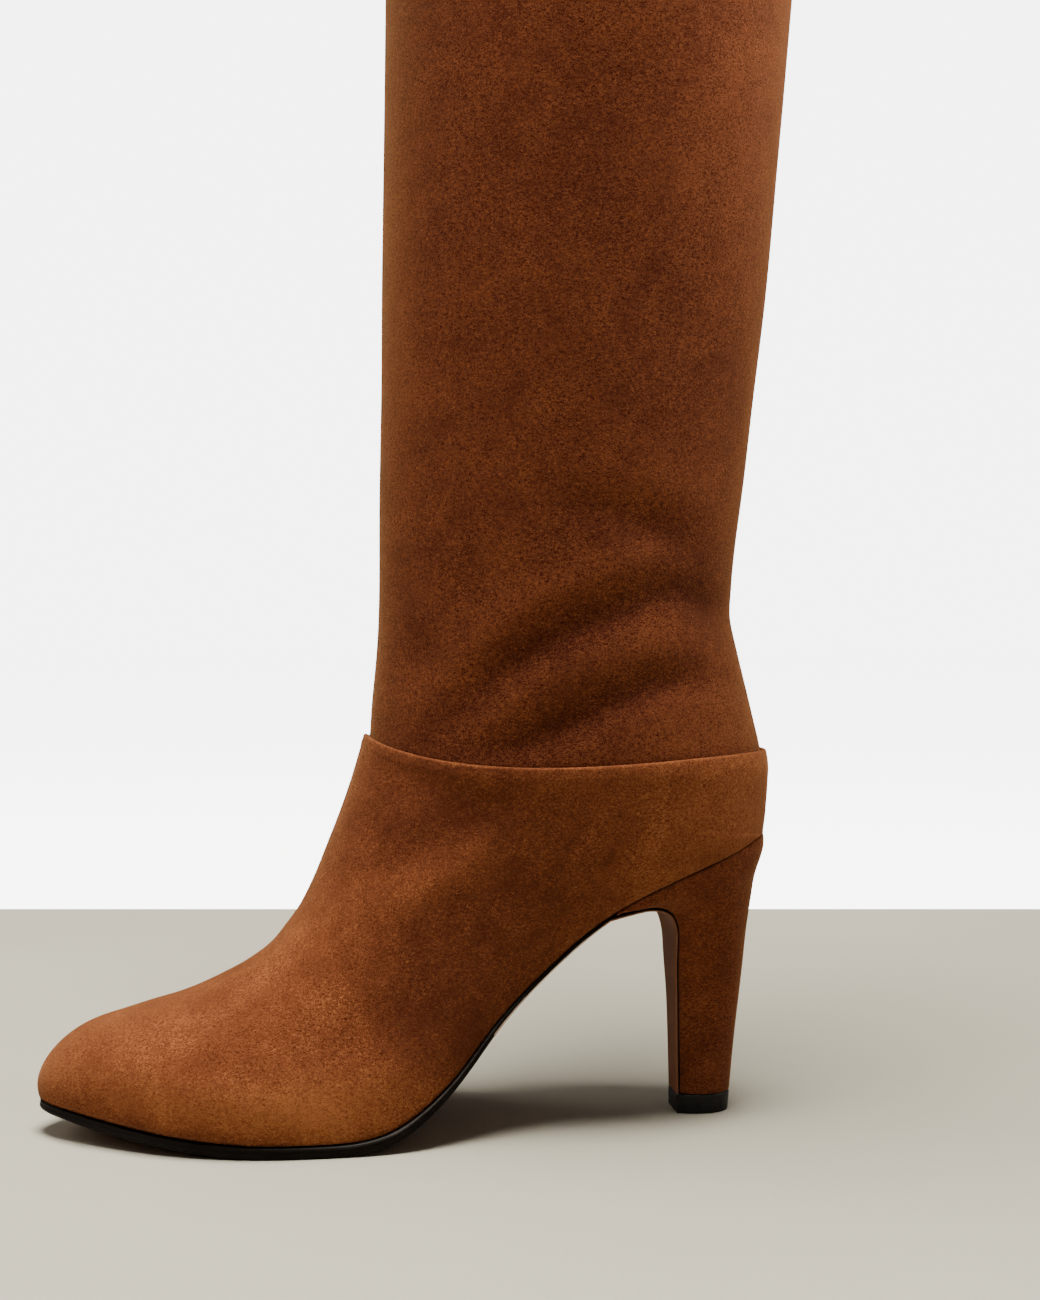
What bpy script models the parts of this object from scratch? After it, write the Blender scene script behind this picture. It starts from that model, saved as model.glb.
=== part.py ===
"""Left over-the-knee boot in suede, with a covered high heel and a leather sole.

Metres, +Z up. The toe points to -Y and the outer side of the foot to +X.
The origin is at the middle of the boot's bounding box, on the ground.
Tables are in millimetres: s runs forward from the back of the heel to the toe,
z runs up from the ground, and half widths are measured from the plane x = 0.
"""

from collections import namedtuple

import bmesh
import bpy
import numpy as np

MM = 0.001

# Driving dimensions, in millimetres.
LENGTH = 229.0  # back of the heel seat to the toe tip, along the ground
BALL_WIDTH = 85.6  # vamp at its widest
BOOT_HEIGHT = 630.0  # ground to the top edge, over the knee
UPPER_WALL = 1.6  # suede with its lining
SHAFT_WALL = 1.6
PIECE_GAP = 0.3  # between two pieces that lie against each other
LASTING_MARGIN = 7.0  # upper turned in over the sole
INSOLE_THICKNESS = 2.2
TIP_HEIGHT = 6.0

# The tables hold a boot of these sizes; other driving sizes grade them.
TABLE_LENGTH = 229.0
TABLE_BALL_WIDTH = 85.6
TABLE_HEIGHT = 630.0

LAP_STEP = UPPER_WALL + PIECE_GAP
HALF_COLUMNS = 20  # faces from the front ridge to the edge, on each side
LONGEST_ROW = 30.0  # distance between two rows of points along the boot
SHAFT_BACK = -28.9  # s of the form's back at the top edge
TOE_TIP = 228.6
TUCK_ROWS = 2  # rows of the shaft that are hidden inside the ankle collar
FLAT_BACK = 133.0  # the tread lies flat on the ground between these two
FLAT_FRONT = 163.0
SOLE_STRIPS = 6  # faces across the outsole
INSOLE_STRIPS = 4

Section = namedtuple(
    "Section",
    "name back_s back_z front_s front_z dip edge_out edge_in wide_out wide_in"
    " rise front_power back_power",
)

# One outer form for leg and foot. Each section is a plane across the boot, from
# a point at the back or underneath to a point on the front ridge. It lies level
# in the leg and fans out to upright at the toe. edge is the half width at the
# sole's edge, wide the half width at the fullest place, which lies at the share
# rise of the way to the front. dip lets the sides sag below the plane.
SECTIONS = [
    Section("top edge", SHAFT_BACK, 630, 122.6, 630, 0, 0, 0, 62.9, 62.9, 0.49, 2.0, 2.0),
    Section("over knee", -24.0, 555, 122.9, 555, 0, 0, 0, 61.6, 61.6, 0.49, 2.0, 2.0),
    Section("knee", -18.0, 470, 123.4, 470, 0, 0, 0, 59.6, 59.6, 0.49, 2.0, 2.0),
    Section("calf top", -12.4, 392, 123.9, 392, 0, 0, 0, 57.0, 57.0, 0.49, 2.0, 2.0),
    Section("calf", -8.1, 338, 124.4, 338, 0, 0, 0, 54.4, 54.4, 0.49, 2.0, 2.0),
    Section("calf base", -4.0, 292, 125.0, 292, 0, 0, 0, 51.4, 51.4, 0.49, 2.0, 2.0),
    Section("shin", -0.8, 257, 125.4, 257, 0, 0, 0, 48.6, 48.6, 0.49, 2.0, 2.0),
    Section("low shin", 3.1, 225, 125.6, 225, 0, 0, 0, 45.9, 45.9, 0.49, 2.0, 2.0),
    Section("upper ankle", 6.8, 194, 126.2, 194, 0.3, 0, 0, 43.4, 43.4, 0.49, 2.0, 2.0),
    Section("ankle", 9.9, 165, 126.3, 166, 1.2, 0, 0, 41.6, 41.6, 0.49, 2.0, 2.0),
    Section("notch", 8.5, 149, 126.8, 151, 2.4, 0, 0, 41.2, 41.2, 0.49, 2.0, 2.0),
    Section("low ankle", 4.9, 134, 127.9, 138, 3.7, 0, 0, 41.1, 41.1, 0.49, 2.0, 2.0),
    Section("over collar", 2.0, 122.8, 128.8, 127.8, 4.8, 0, 0, 41.1, 41.1, 0.49, 2.0, 2.0),
    Section("collar", 0.3, 114.9, 129.3, 120.6, 5.2, 0, 0, 41.0, 41.0, 0.49, 2.0, 2.0),
    Section("under collar", -0.2, 107.5, 130.0, 117.8, 4.6, 0, 0, 40.6, 40.6, 0.49, 2.0, 2.0),
    Section("counter", 0.1, 99.0, 130.6, 116.0, 3.4, 0, 0, 40.0, 40.0, 0.49, 2.0, 1.95),
    Section("seat", 0.9, 90.6, 131.3, 113.6, 2.3, 0, 0, 39.1, 39.1, 0.49, 2.0, 1.9),
    Section("seat back", 4.0, 88.6, 132.1, 110.8, 1.6, 11.8, 11.8, 38.8, 38.7, 0.49, 2.0, 1.9),
    Section("seat side", 12.0, 85.4, 133.1, 107.5, 1.0, 19.4, 19.4, 38.3, 38.0, 0.48, 2.0, 1.95),
    Section("seat middle", 23.0, 81.1, 134.5, 103.3, 0.5, 23.8, 23.6, 37.6, 37.0, 0.48, 2.0, 2.0),
    Section("seat front", 39.0, 74.6, 137.1, 96.0, 0.2, 25.9, 25.2, 36.6, 35.6, 0.47, 2.0, 2.0),
    Section("waist back", 57.0, 65.3, 140.5, 87.4, 0, 26.8, 25.0, 35.8, 34.4, 0.46, 2.0, 2.0),
    Section("waist", 76.0, 50.3, 144.8, 76.7, 0, 28.2, 24.0, 35.6, 33.8, 0.42, 2.0, 2.0),
    Section("waist front", 92.0, 34.8, 149.9, 66.7, 0, 31.4, 25.0, 37.0, 34.8, 0.36, 2.0, 2.0),
    Section("joint back", 103.0, 21.5, 154.0, 61.1, 0, 34.2, 28.0, 38.6, 36.6, 0.32, 2.0, 2.0),
    Section("joint", 113.0, 12.5, 157.9, 56.4, 0, 37.2, 31.4, 40.4, 38.3, 0.30, 2.0, 2.0),
    Section("outer ball", 123.5, 6.5, 162.2, 52.9, 0, 39.8, 34.4, 42.0, 40.0, 0.28, 2.0, 2.0),
    Section("ball", 135.0, 4.1, 167.0, 49.8, 0, 41.2, 36.9, 43.0, 41.2, 0.27, 2.0, 2.0),
    Section("inner ball", 148.0, 3.8, 173.5, 46.4, 0, 41.6, 38.7, 43.6, 42.0, 0.27, 2.0, 2.0),
    Section("ball front", 160.0, 3.8, 179.9, 43.4, 0, 41.0, 39.0, 43.0, 42.0, 0.28, 2.0, 2.0),
    Section("toe root", 172.0, 4.3, 187.2, 40.7, 0, 38.8, 37.8, 40.9, 40.6, 0.29, 2.0, 2.0),
    Section("toe spring", 184.0, 5.2, 194.8, 38.6, 0, 34.8, 34.8, 37.2, 37.6, 0.31, 2.05, 2.0),
    Section("toe back", 196.0, 6.4, 203.3, 36.1, 0, 28.9, 30.1, 31.4, 32.6, 0.33, 2.1, 2.0),
    Section("toe", 206.0, 7.7, 211.0, 34.0, 0, 22.7, 24.3, 25.1, 26.8, 0.34, 2.1, 2.0),
    Section("toe front", 214.0, 8.8, 217.5, 31.1, 0, 17.3, 18.5, 19.6, 20.8, 0.33, 2.05, 2.0),
    Section("toe end", 220.5, 9.7, 222.9, 27.0, 0, 12.4, 13.0, 14.0, 14.6, 0.30, 2.0, 2.0),
    Section("nose back", 225.0, 10.3, 226.6, 22.6, 0, 8.3, 8.6, 9.1, 9.4, 0.25, 1.9, 2.0),
    Section("nose", 227.3, 10.6, 228.7, 18.3, 0, 5.1, 5.2, 5.4, 5.5, 0.18, 1.7, 2.0),
    Section("nose tip", 228.3, 10.7, 229.4, 14.3, 0, 2.8, 2.8, 2.9, 2.9, 0.10, 1.5, 2.0),
    Section("tip", TOE_TIP, 10.7, TOE_TIP, 10.7, 0, 0, 0, 0, 0, 0.10, 1.4, 2.0),
]
DIP_LEAN = 0.94  # the sag of the ankle seam is deeper towards the front
DIP_POWER = 1.5

SoleStation = namedtuple("SoleStation", "name s z half_out half_in edge core")

# The sole strip leaves the upper at the wedge, runs under the arch and turns
# down the breast of the heel. s and z are on the face against the heel.
SOLE_FLAP = [
    SoleStation("wedge end", 55.6, 65.7, 26.7, 25.0, 1.1, 1.4),
    SoleStation("wedge", 51.4, 66.6, 25.9, 24.7, 1.0, 1.3),
    SoleStation("arch rise", 46.4, 67.4, 24.5, 23.9, 0.9, 1.2),
    SoleStation("arch crown", 42.2, 67.8, 22.8, 22.6, 0.9, 1.0),
    SoleStation("arch", 38.2, 67.1, 20.4, 20.4, 0.9, 0.9),
    SoleStation("arch turn", 34.9, 65.6, 17.8, 17.8, 0.9, 0.9),
    SoleStation("breast top", 32.7, 63.1, 15.4, 15.4, 0.9, 0.9),
    SoleStation("high breast", 31.3, 59.6, 13.2, 13.2, 0.9, 0.9),
    SoleStation("breast", 30.6, 50.0, 10.0, 10.0, 0.9, 0.9),
    SoleStation("middle breast", 30.2, 40.3, 8.3, 8.3, 0.9, 0.9),
    SoleStation("low breast", 29.8, 26.0, 7.0, 7.0, 0.9, 0.9),
    SoleStation("breast foot", 29.4, 6.3, 6.4, 6.4, 0.9, 0.9),
]

SoleEdge = namedtuple("SoleEdge", "s edge core rim")

# Edge and middle thickness of the sole under the upper, and how far its edge
# stands out past the upper.
SOLE_EDGES = [
    SoleEdge(57.0, 1.2, 1.6, 0.2),
    SoleEdge(76.0, 1.7, 3.2, 0.3),
    SoleEdge(92.0, 2.5, 3.9, 0.5),
    SoleEdge(103.0, 2.9, 3.8, 0.8),
    SoleEdge(113.0, 3.3, 3.6, 1.0),
    SoleEdge(123.5, 3.7, 3.7, 1.1),
    SoleEdge(170.0, 3.7, 3.7, 1.0),
    SoleEdge(196.0, 3.6, 3.6, 0.8),
    SoleEdge(214.0, 3.3, 3.3, 0.4),
    SoleEdge(229.0, 2.8, 2.8, -0.2),
]

HeelLevel = namedtuple(
    "HeelLevel", "name back_s back_z front_s front_z front_half wide belly bow power seat"
)

# Levels of the heel block, from the seat down to the top lift. belly is where
# the outline is widest, as a share of the way to the breast; bow lifts the
# middle above the straight line; seat is the share of the upper's own outline.
HEEL_LEVELS = [
    HeelLevel("seat", 1.1, 88.5, 53.2, 67.2, 26.4, 26.4, 1.0, 2.8, 2.5, 1.0),
    HeelLevel("cover edge", 1.6, 84.6, 46.3, 67.9, 24.0, 25.2, 0.95, 2.0, 2.5, 0.5),
    HeelLevel("wedge", 2.7, 81.0, 42.0, 68.2, 22.2, 23.8, 0.85, 1.4, 2.4, 0.2),
    HeelLevel("arch", 3.8, 77.2, 38.0, 67.5, 19.8, 22.2, 0.75, 0.9, 2.3, 0.0),
    HeelLevel("arch turn", 4.6, 73.4, 34.6, 65.9, 17.2, 20.2, 0.68, 0.5, 2.2, 0.0),
    HeelLevel("breast top", 5.2, 69.2, 32.3, 63.3, 14.9, 18.0, 0.62, 0.3, 2.2, 0.0),
    HeelLevel("high breast", 6.0, 63.0, 30.95, 59.7, 12.8, 15.6, 0.58, 0.1, 2.1, 0.0),
    HeelLevel("breast", 7.2, 52.0, 30.25, 50.0, 9.7, 12.7, 0.55, 0.0, 2.1, 0.0),
    HeelLevel("middle", 8.3, 41.0, 29.85, 40.3, 8.0, 10.7, 0.55, 0.0, 2.1, 0.0),
    HeelLevel("low", 10.0, 26.4, 29.45, 26.0, 6.7, 9.0, 0.55, 0.0, 2.1, 0.0),
    HeelLevel("foot", 12.0, 6.3, 29.05, 6.3, 6.2, 8.0, 0.55, 0.0, 2.1, 0.0),
]
HEEL_STEPS = 12  # faces from the back of the heel to its breast, on each side
HEEL_SEAT_GAP = 0.35  # between the heel block and the upper it carries
TIP_FRONT = 30.3
TIP_TAPER = 0.5  # the back of the heel tip leans in towards the ground


# ---------------------------------------------------------------- curves


def spline(knots, values, at):
    """Natural cubic spline through the values, read at the places given."""
    gaps = np.diff(knots)
    count = len(knots)
    matrix = np.eye(count)
    right = np.zeros(count)
    for i in range(1, count - 1):
        matrix[i, i - 1] = gaps[i - 1]
        matrix[i, i] = 2 * (gaps[i - 1] + gaps[i])
        matrix[i, i + 1] = gaps[i]
        slopes = np.diff(values[i - 1 : i + 2]) / gaps[i - 1 : i + 1]
        right[i] = 6 * (slopes[1] - slopes[0])
    bend = np.linalg.solve(matrix, right)
    k = np.clip(np.searchsorted(knots, at, side="right") - 1, 0, count - 2)
    ahead = (knots[k + 1] - at) / gaps[k]
    behind = 1 - ahead
    curve = (ahead**3 - ahead) * bend[k] + (behind**3 - behind) * bend[k + 1]
    return ahead * values[k] + behind * values[k + 1] + curve * gaps[k] ** 2 / 6


def between(rows, column, s):
    """The named column of a table whose rows run along s, at s."""
    places = [row.s for row in rows]
    return np.interp(s, places, [getattr(row, column) for row in rows])


def unit(vectors):
    lengths = np.linalg.norm(vectors, axis=-1, keepdims=True)
    return vectors / np.maximum(lengths, 1e-9)


# ---------------------------------------------------------------- the form

FORM = np.array([row[1:] for row in SECTIONS], dtype=float)
COLUMN = {name: i for i, name in enumerate(Section._fields[1:])}
ROW = {row.name: i for i, row in enumerate(SECTIONS)}
EDGE_COLUMNS = (COLUMN["edge_out"], COLUMN["edge_in"])


def form_knots():
    """Distance along the boot of each section, by how far its points move."""
    moves = np.diff(FORM[:, [0, 1, 2, 3, COLUMN["wide_out"]]], axis=0)
    widths = np.diff(FORM[:, COLUMN["edge_out"]])
    steps = np.sqrt((moves**2).sum(axis=1) + widths**2)
    return np.concatenate([[0.0], np.cumsum(steps)])


KNOTS = form_knots()


def sections_at(places):
    """Every column of the section table, at places along the boot."""
    seat = ROW["seat"]
    found = np.empty((len(places), FORM.shape[1]))
    for column in range(FORM.shape[1]):
        if column in EDGE_COLUMNS:
            edge = spline(KNOTS[seat:], FORM[seat:, column], np.maximum(places, KNOTS[seat]))
            found[:, column] = np.where(places > KNOTS[seat], np.maximum(edge, 0), 0)
        else:
            found[:, column] = spline(KNOTS, FORM[:, column], places)
    return found


def half_section(row, side, columns):
    """Half widths and shares of the way forward, from the ridge to the edge."""
    wide = row[COLUMN["wide_" + side]]
    edge = row[COLUMN["edge_" + side]]
    rise = row[COLUMN["rise"]]
    front_power = row[COLUMN["front_power"]]
    back_power = row[COLUMN["back_power"]]
    if wide <= 0:
        return np.zeros(columns + 1), np.zeros(columns + 1)
    kept = max(1 - min(edge / wide, 0.999) ** back_power, 1e-6)
    depth = rise / kept ** (1 / back_power)
    last = np.pi / 2 + np.arcsin(min((rise / depth) ** (back_power / 2), 1.0))
    angles = np.linspace(0, last, columns + 1)
    front = angles <= np.pi / 2
    power = np.where(front, front_power, back_power)
    across = wide * np.abs(np.sin(angles)) ** (2 / power)
    along = np.abs(np.cos(angles)) ** (2 / power)
    share = np.where(front, rise + (1 - rise) * along, rise - depth * along)
    across[-1] = edge
    share[-1] = 0
    return across, share


def form_grid(places, columns):
    """Points of the form: a row for each place, inner edge to outer edge."""
    grid = np.zeros((len(places), 2 * columns + 1, 3))
    for i, row in enumerate(sections_at(places)):
        back = row[:2]
        front = row[2:4]
        for side, sign in (("out", 1), ("in", -1)):
            across, share = half_section(row, side, columns)
            turn = 2 * share - 1
            round_part = np.sqrt(np.maximum(1 - turn**2, 0)) ** DIP_POWER
            sag = row[COLUMN["dip"]] * round_part * (1 + DIP_LEAN * turn)
            index = columns + sign * np.arange(columns + 1)
            grid[i, index, 0] = sign * across
            grid[i, index, 1] = back[0] + share * (front[0] - back[0])
            grid[i, index, 2] = back[1] + share * (front[1] - back[1]) - sag
    return grid


def grid_normals(grid, closed_rows):
    """Outward normal at each point of the form's grid."""
    corners = grid[:-1, :-1], grid[1:, :-1], grid[1:, 1:], grid[:-1, 1:]
    faces = np.cross(corners[3] - corners[1], corners[2] - corners[0])
    normals = np.zeros_like(grid)
    normals[:-1, :-1] += faces
    normals[1:, :-1] += faces
    normals[1:, 1:] += faces
    normals[:-1, 1:] += faces
    seam = normals[:closed_rows, 0] + normals[:closed_rows, -1]
    normals[:closed_rows, 0] = seam
    normals[:closed_rows, -1] = seam
    normals[-1] = normals[-1].sum(axis=0)
    return unit(normals)


def row_places():
    """A place for each section, with one more where two lie far apart."""
    places = []
    for start, end in zip(KNOTS[:-1], KNOTS[1:]):
        parts = int(np.ceil((end - start) / LONGEST_ROW))
        places += [start + (end - start) * k / parts for k in range(parts)]
    return np.array(places + [KNOTS[-1]])


PLACES = row_places()
GRID = form_grid(PLACES, HALF_COLUMNS)
SEAT_ROW = int(np.searchsorted(PLACES, KNOTS[ROW["seat"]] - 1e-6))
COLLAR_ROW = int(np.searchsorted(PLACES, KNOTS[ROW["collar"]] - 1e-6))
NORMALS = grid_normals(GRID, SEAT_ROW + 1)


# ---------------------------------------------------------------- the bottom


class Bottom:
    """The lasted bottom of the upper, straight across and curved along s."""

    def __init__(self):
        rows = sections_at(PLACES)[SEAT_ROW:]
        self.s = rows[:, 0]
        self.z = rows[:, 1]
        self.run = np.concatenate([[0.0], np.cumsum(np.hypot(np.diff(self.s), np.diff(self.z)))])

    def at(self, run):
        """s and z at a distance along the bottom, straight on past its ends."""
        s = np.interp(run, self.run, self.s)
        z = np.interp(run, self.run, self.z)
        before = np.minimum(run, 0)
        after = np.maximum(run - self.run[-1], 0)
        start = unit(np.array([self.s[1] - self.s[0], self.z[1] - self.z[0]]))
        end = unit(np.array([self.s[-1] - self.s[-3], self.z[-1] - self.z[-3]]))
        return (
            s + before * start[0] + after * end[0],
            z + before * start[1] + after * end[1],
        )

    def up(self, run):
        """The direction into the boot, as s and z."""
        reach = 1.5
        ahead = np.array(self.at(run + reach))
        behind = np.array(self.at(run - reach))
        along = unit((ahead - behind).T)
        return -along[:, 1], along[:, 0]

    def points(self, run, across, height):
        """Points at a height above the bottom, as x, s and z."""
        s, z = self.at(run)
        up_s, up_z = self.up(run)
        return np.stack([across, s + height * up_s, z + height * up_z], axis=-1)


BOTTOM = Bottom()


def feather_loop():
    """The upper's lower edge, flattened: distance along the bottom and across.

    It runs from the back of the seat along the outer side to the toe tip, and
    back along the inner side.
    """
    outer = GRID[SEAT_ROW:, -1, 0]
    inner = GRID[SEAT_ROW:, 0, 0]
    run = BOTTOM.run
    return np.concatenate(
        [np.stack([run, outer], axis=1), np.stack([run, inner], axis=1)[-2:0:-1]]
    )


def moved_out(loop, distance):
    """The flattened loop moved outwards in its own plane by a distance."""
    tangent = unit(np.roll(loop, -1, axis=0) - np.roll(loop, 1, axis=0))
    outward = np.stack([-tangent[:, 1], tangent[:, 0]], axis=1)
    return loop + outward * np.reshape(distance, (-1, 1))


# ---------------------------------------------------------------- meshes


def centre_s():
    """s of the middle of the boot's bounding box."""
    return 0.5 * (GRID[..., 1].max() + SHAFT_BACK + LAP_STEP)


def to_world(points):
    """From x, s, z in table millimetres to metres in the boot's frame."""
    graded = np.array(points, dtype=float)
    x = graded[..., 0] * BALL_WIDTH / TABLE_BALL_WIDTH
    y = (centre_s() - graded[..., 1]) * LENGTH / TABLE_LENGTH
    z = graded[..., 2] * BOOT_HEIGHT / TABLE_HEIGHT
    return np.stack([x, y, z], axis=-1) * MM


class Solid:
    """Collects points and faces, and drops faces that close to nothing."""

    def __init__(self):
        self.points = []
        self.faces = []

    def add(self, points):
        """Adds a block of points and returns their numbers in its shape."""
        block = np.asarray(points, dtype=float)
        start = len(self.points)
        self.points.extend(block.reshape(-1, 3))
        return np.arange(start, len(self.points)).reshape(block.shape[:-1])

    def face(self, *corners):
        kept = [c for k, c in enumerate(corners) if c != corners[k - 1]]
        if len(set(kept)) > 2:
            self.faces.append([int(c) for c in kept])

    def sheet(self, first, second, closed=False):
        """Quads between two lines of points of equal count."""
        count = len(first)
        for k in range(count if closed else count - 1):
            after = (k + 1) % count
            self.face(first[k], first[after], second[after], second[k])

    def grid(self, numbers):
        for first, second in zip(numbers[:-1], numbers[1:]):
            self.sheet(first, second)

    def build(self, name, material, smooth_angle=0.7):
        mesh = bpy.data.meshes.new(name)
        used = sorted({c for face in self.faces for c in face})
        renumbered = {old: new for new, old in enumerate(used)}
        world = to_world(np.array(self.points)[used])
        faces = [[renumbered[c] for c in face] for face in self.faces]
        mesh.from_pydata(world.tolist(), [], faces)
        turn_faces_out(mesh)
        mesh.materials.append(material)
        mesh.shade_smooth()
        mesh.set_sharp_from_angle(angle=smooth_angle)
        boot_piece = bpy.data.objects.new(name, mesh)
        bpy.context.collection.objects.link(boot_piece)
        return boot_piece


def turn_faces_out(mesh):
    shape = bmesh.new()
    shape.from_mesh(mesh)
    bmesh.ops.recalc_face_normals(shape, faces=shape.faces)
    shape.to_mesh(mesh)
    shape.free()


def welded(numbers, closed_rows):
    """Joins the two ends of each closed row, and the whole of the last row."""
    joined = numbers.copy()
    joined[:closed_rows, -1] = joined[:closed_rows, 0]
    joined[-1, :] = joined[-1, 0]
    return joined


def paint(name, colour, roughness):
    material = bpy.data.materials.new(name)
    material.use_nodes = True
    shader = material.node_tree.nodes["Principled BSDF"]
    shader.inputs["Base Color"].default_value = (*colour, 1.0)
    shader.inputs["Roughness"].default_value = roughness
    shader.inputs["Metallic"].default_value = 0.0
    return material


# ---------------------------------------------------------------- the pieces

INNER_MERGE = 2  # last rows of the lining that close on one point at the toe


def make_upper(material):
    """The foot's shell, open at the collar and along the feather edge."""
    outer_grid = GRID[COLLAR_ROW:]
    inner_grid = outer_grid - UPPER_WALL * NORMALS[COLLAR_ROW:]
    closed_rows = SEAT_ROW - COLLAR_ROW + 1
    solid = Solid()
    outer = welded(solid.add(outer_grid), closed_rows)
    inner = welded(solid.add(inner_grid), closed_rows)
    inner[-INNER_MERGE:, :] = inner[-1, 0]
    solid.grid(outer)
    solid.grid(inner[:, ::-1])
    solid.sheet(outer[0][::-1], inner[0][::-1])
    for edge, sign in ((-1, 1), (0, -1)):
        first = outer[closed_rows - 1 :, edge]
        second = inner[closed_rows - 1 :, edge]
        solid.sheet(first[::sign], second[::sign])
    shell = solid.build("upper", material)
    margin = make_margin(material)
    join = shell.modifiers.new("lasting margin", "BOOLEAN")
    join.operation = "UNION"
    join.object = margin
    return shell


def make_margin(material):
    """The ring of upper turned in under the insole, joined on by the shell."""
    loop = feather_loop()
    sink = 0.08  # keeps the ring's faces off the shell's own lower rim
    outline = moved_out(loop, -0.5 * UPPER_WALL)
    opening = moved_out(loop, -LASTING_MARGIN)
    solid = Solid()
    rings = []
    for ring, height in (
        (outline, sink),
        (outline, UPPER_WALL),
        (opening, UPPER_WALL),
        (opening, sink),
    ):
        rings.append(solid.add(BOTTOM.points(ring[:, 0], ring[:, 1], height)))
    for first, second in zip(rings, rings[1:] + rings[:1]):
        solid.sheet(first, second, closed=True)
    ring = solid.build("margin_cutter", material)
    ring.hide_render = True
    ring.display_type = "WIRE"
    return ring


def make_shaft(material):
    """The leg, whose lower end is tucked inside the ankle collar."""
    rows = COLLAR_ROW + TUCK_ROWS
    outer_grid = GRID[:rows] - LAP_STEP * NORMALS[:rows]
    inner_grid = GRID[:rows] - (LAP_STEP + SHAFT_WALL) * NORMALS[:rows]
    outer_grid[0, :, 2] = BOOT_HEIGHT
    inner_grid[0, :, 2] = BOOT_HEIGHT
    solid = Solid()
    outer = solid.add(outer_grid[:, :-1])
    inner = solid.add(inner_grid[:, :-1])
    for upper_row, lower_row in zip(outer[:-1], outer[1:]):
        solid.sheet(upper_row, lower_row, closed=True)
    for upper_row, lower_row in zip(inner[:-1], inner[1:]):
        solid.sheet(lower_row, upper_row, closed=True)
    solid.sheet(inner[0], outer[0], closed=True)
    solid.sheet(outer[-1], inner[-1], closed=True)
    return solid.build("shaft", material)


def plate(solid, top_sides, bottom_sides):
    """A closed strip from two faces, each a row of points per station."""
    top = solid.add(top_sides)
    bottom = solid.add(bottom_sides)
    solid.grid(top)
    solid.grid(bottom[:, ::-1])
    solid.sheet(top[:, 0], bottom[:, 0])
    solid.sheet(bottom[:, -1], top[:, -1])
    solid.sheet(bottom[0], top[0])
    solid.sheet(top[-1], bottom[-1])


def strip_sides(loop):
    """Outer and inner line of a flattened loop, each from the seat to the toe."""
    count = len(BOTTOM.run)
    outer = loop[:count]
    inner = np.concatenate([loop[:1], loop[count - 1 :][::-1]])
    return outer, inner[:count]


def across_points(outer, inner, cross):
    """Rows of points from the inner to the outer line."""
    share = np.linspace(0, 1, cross + 1)[None, :, None]
    return inner[:, None, :] * (1 - share) + outer[:, None, :] * share


def make_insole(material):
    """The board that lies on the lasting margin, inside the upper."""
    inset = UPPER_WALL + 3 * PIECE_GAP
    low = UPPER_WALL + PIECE_GAP
    high = low + INSOLE_THICKNESS
    outer, inner = strip_sides(moved_out(feather_loop(), -inset))
    flat = across_points(outer, inner, INSOLE_STRIPS)[1:-2]
    run = flat[..., 0]
    across = flat[..., 1]
    shape = run.shape

    def level(height):
        points = BOTTOM.points(run.ravel(), across.ravel(), height)
        return points.reshape(*shape, 3)

    solid = Solid()
    plate(solid, level(high), level(low))
    return solid.build("insole", material)


def make_outsole(material):
    """Forepart and waist under the upper, then the flap down the heel."""
    rims = between(SOLE_EDGES, "rim", BOTTOM.at(feather_loop()[:, 0])[0])
    outer, inner = strip_sides(moved_out(feather_loop(), rims))
    under = BOTTOM.s >= SOLE_EDGES[0].s - 0.5
    flat = across_points(outer[under], inner[under], SOLE_STRIPS)
    run = flat[..., 0]
    turn = np.linspace(-1, 1, SOLE_STRIPS + 1)[None, :]
    s_here = BOTTOM.s[under][:, None]
    edge = between(SOLE_EDGES, "edge", s_here)
    core = between(SOLE_EDGES, "core", s_here)
    thick = edge + (core - edge) * (1 - turn**2)

    def level(height):
        heights = np.broadcast_to(height, run.shape).ravel()
        points = BOTTOM.points(run.ravel(), flat[..., 1].ravel(), heights)
        return points.reshape(*run.shape, 3)

    top = level(-PIECE_GAP)
    bottom = level(-PIECE_GAP - thick)
    tread = (bottom[..., 1] > FLAT_BACK) & (bottom[..., 1] < FLAT_FRONT)
    bottom[..., 2] = np.where(tread, 0.0, np.maximum(bottom[..., 2], 0.0))

    flap = np.array([row[1:] for row in SOLE_FLAP], dtype=float)
    line = np.concatenate([top[:1, 0, 1:], flap[:, :2]])
    along = unit(np.gradient(line, axis=0))[1:]
    outwards = np.stack([-along[:, 1], along[:, 0]], axis=1)
    share = 0.5 + 0.5 * turn
    x_flap = -flap[:, 3:4] * (1 - share) + flap[:, 2:3] * share
    thick_flap = flap[:, 4:5] + (flap[:, 5:6] - flap[:, 4:5]) * (1 - turn**2)
    s_flap = np.repeat(flap[:, :1], SOLE_STRIPS + 1, axis=1)
    z_flap = np.repeat(flap[:, 1:2], SOLE_STRIPS + 1, axis=1)
    flap_top = np.stack([x_flap, s_flap, z_flap], axis=-1)[::-1]
    flap_bottom = np.stack(
        [
            x_flap,
            s_flap + outwards[:, :1] * thick_flap,
            z_flap + outwards[:, 1:] * thick_flap,
        ],
        axis=-1,
    )[::-1]
    flap_bottom[0, :, 2] = flap_top[0, :, 2]
    solid = Solid()
    plate(solid, np.concatenate([flap_top, top]), np.concatenate([flap_bottom, bottom]))
    return solid.build("outsole", material)


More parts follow.
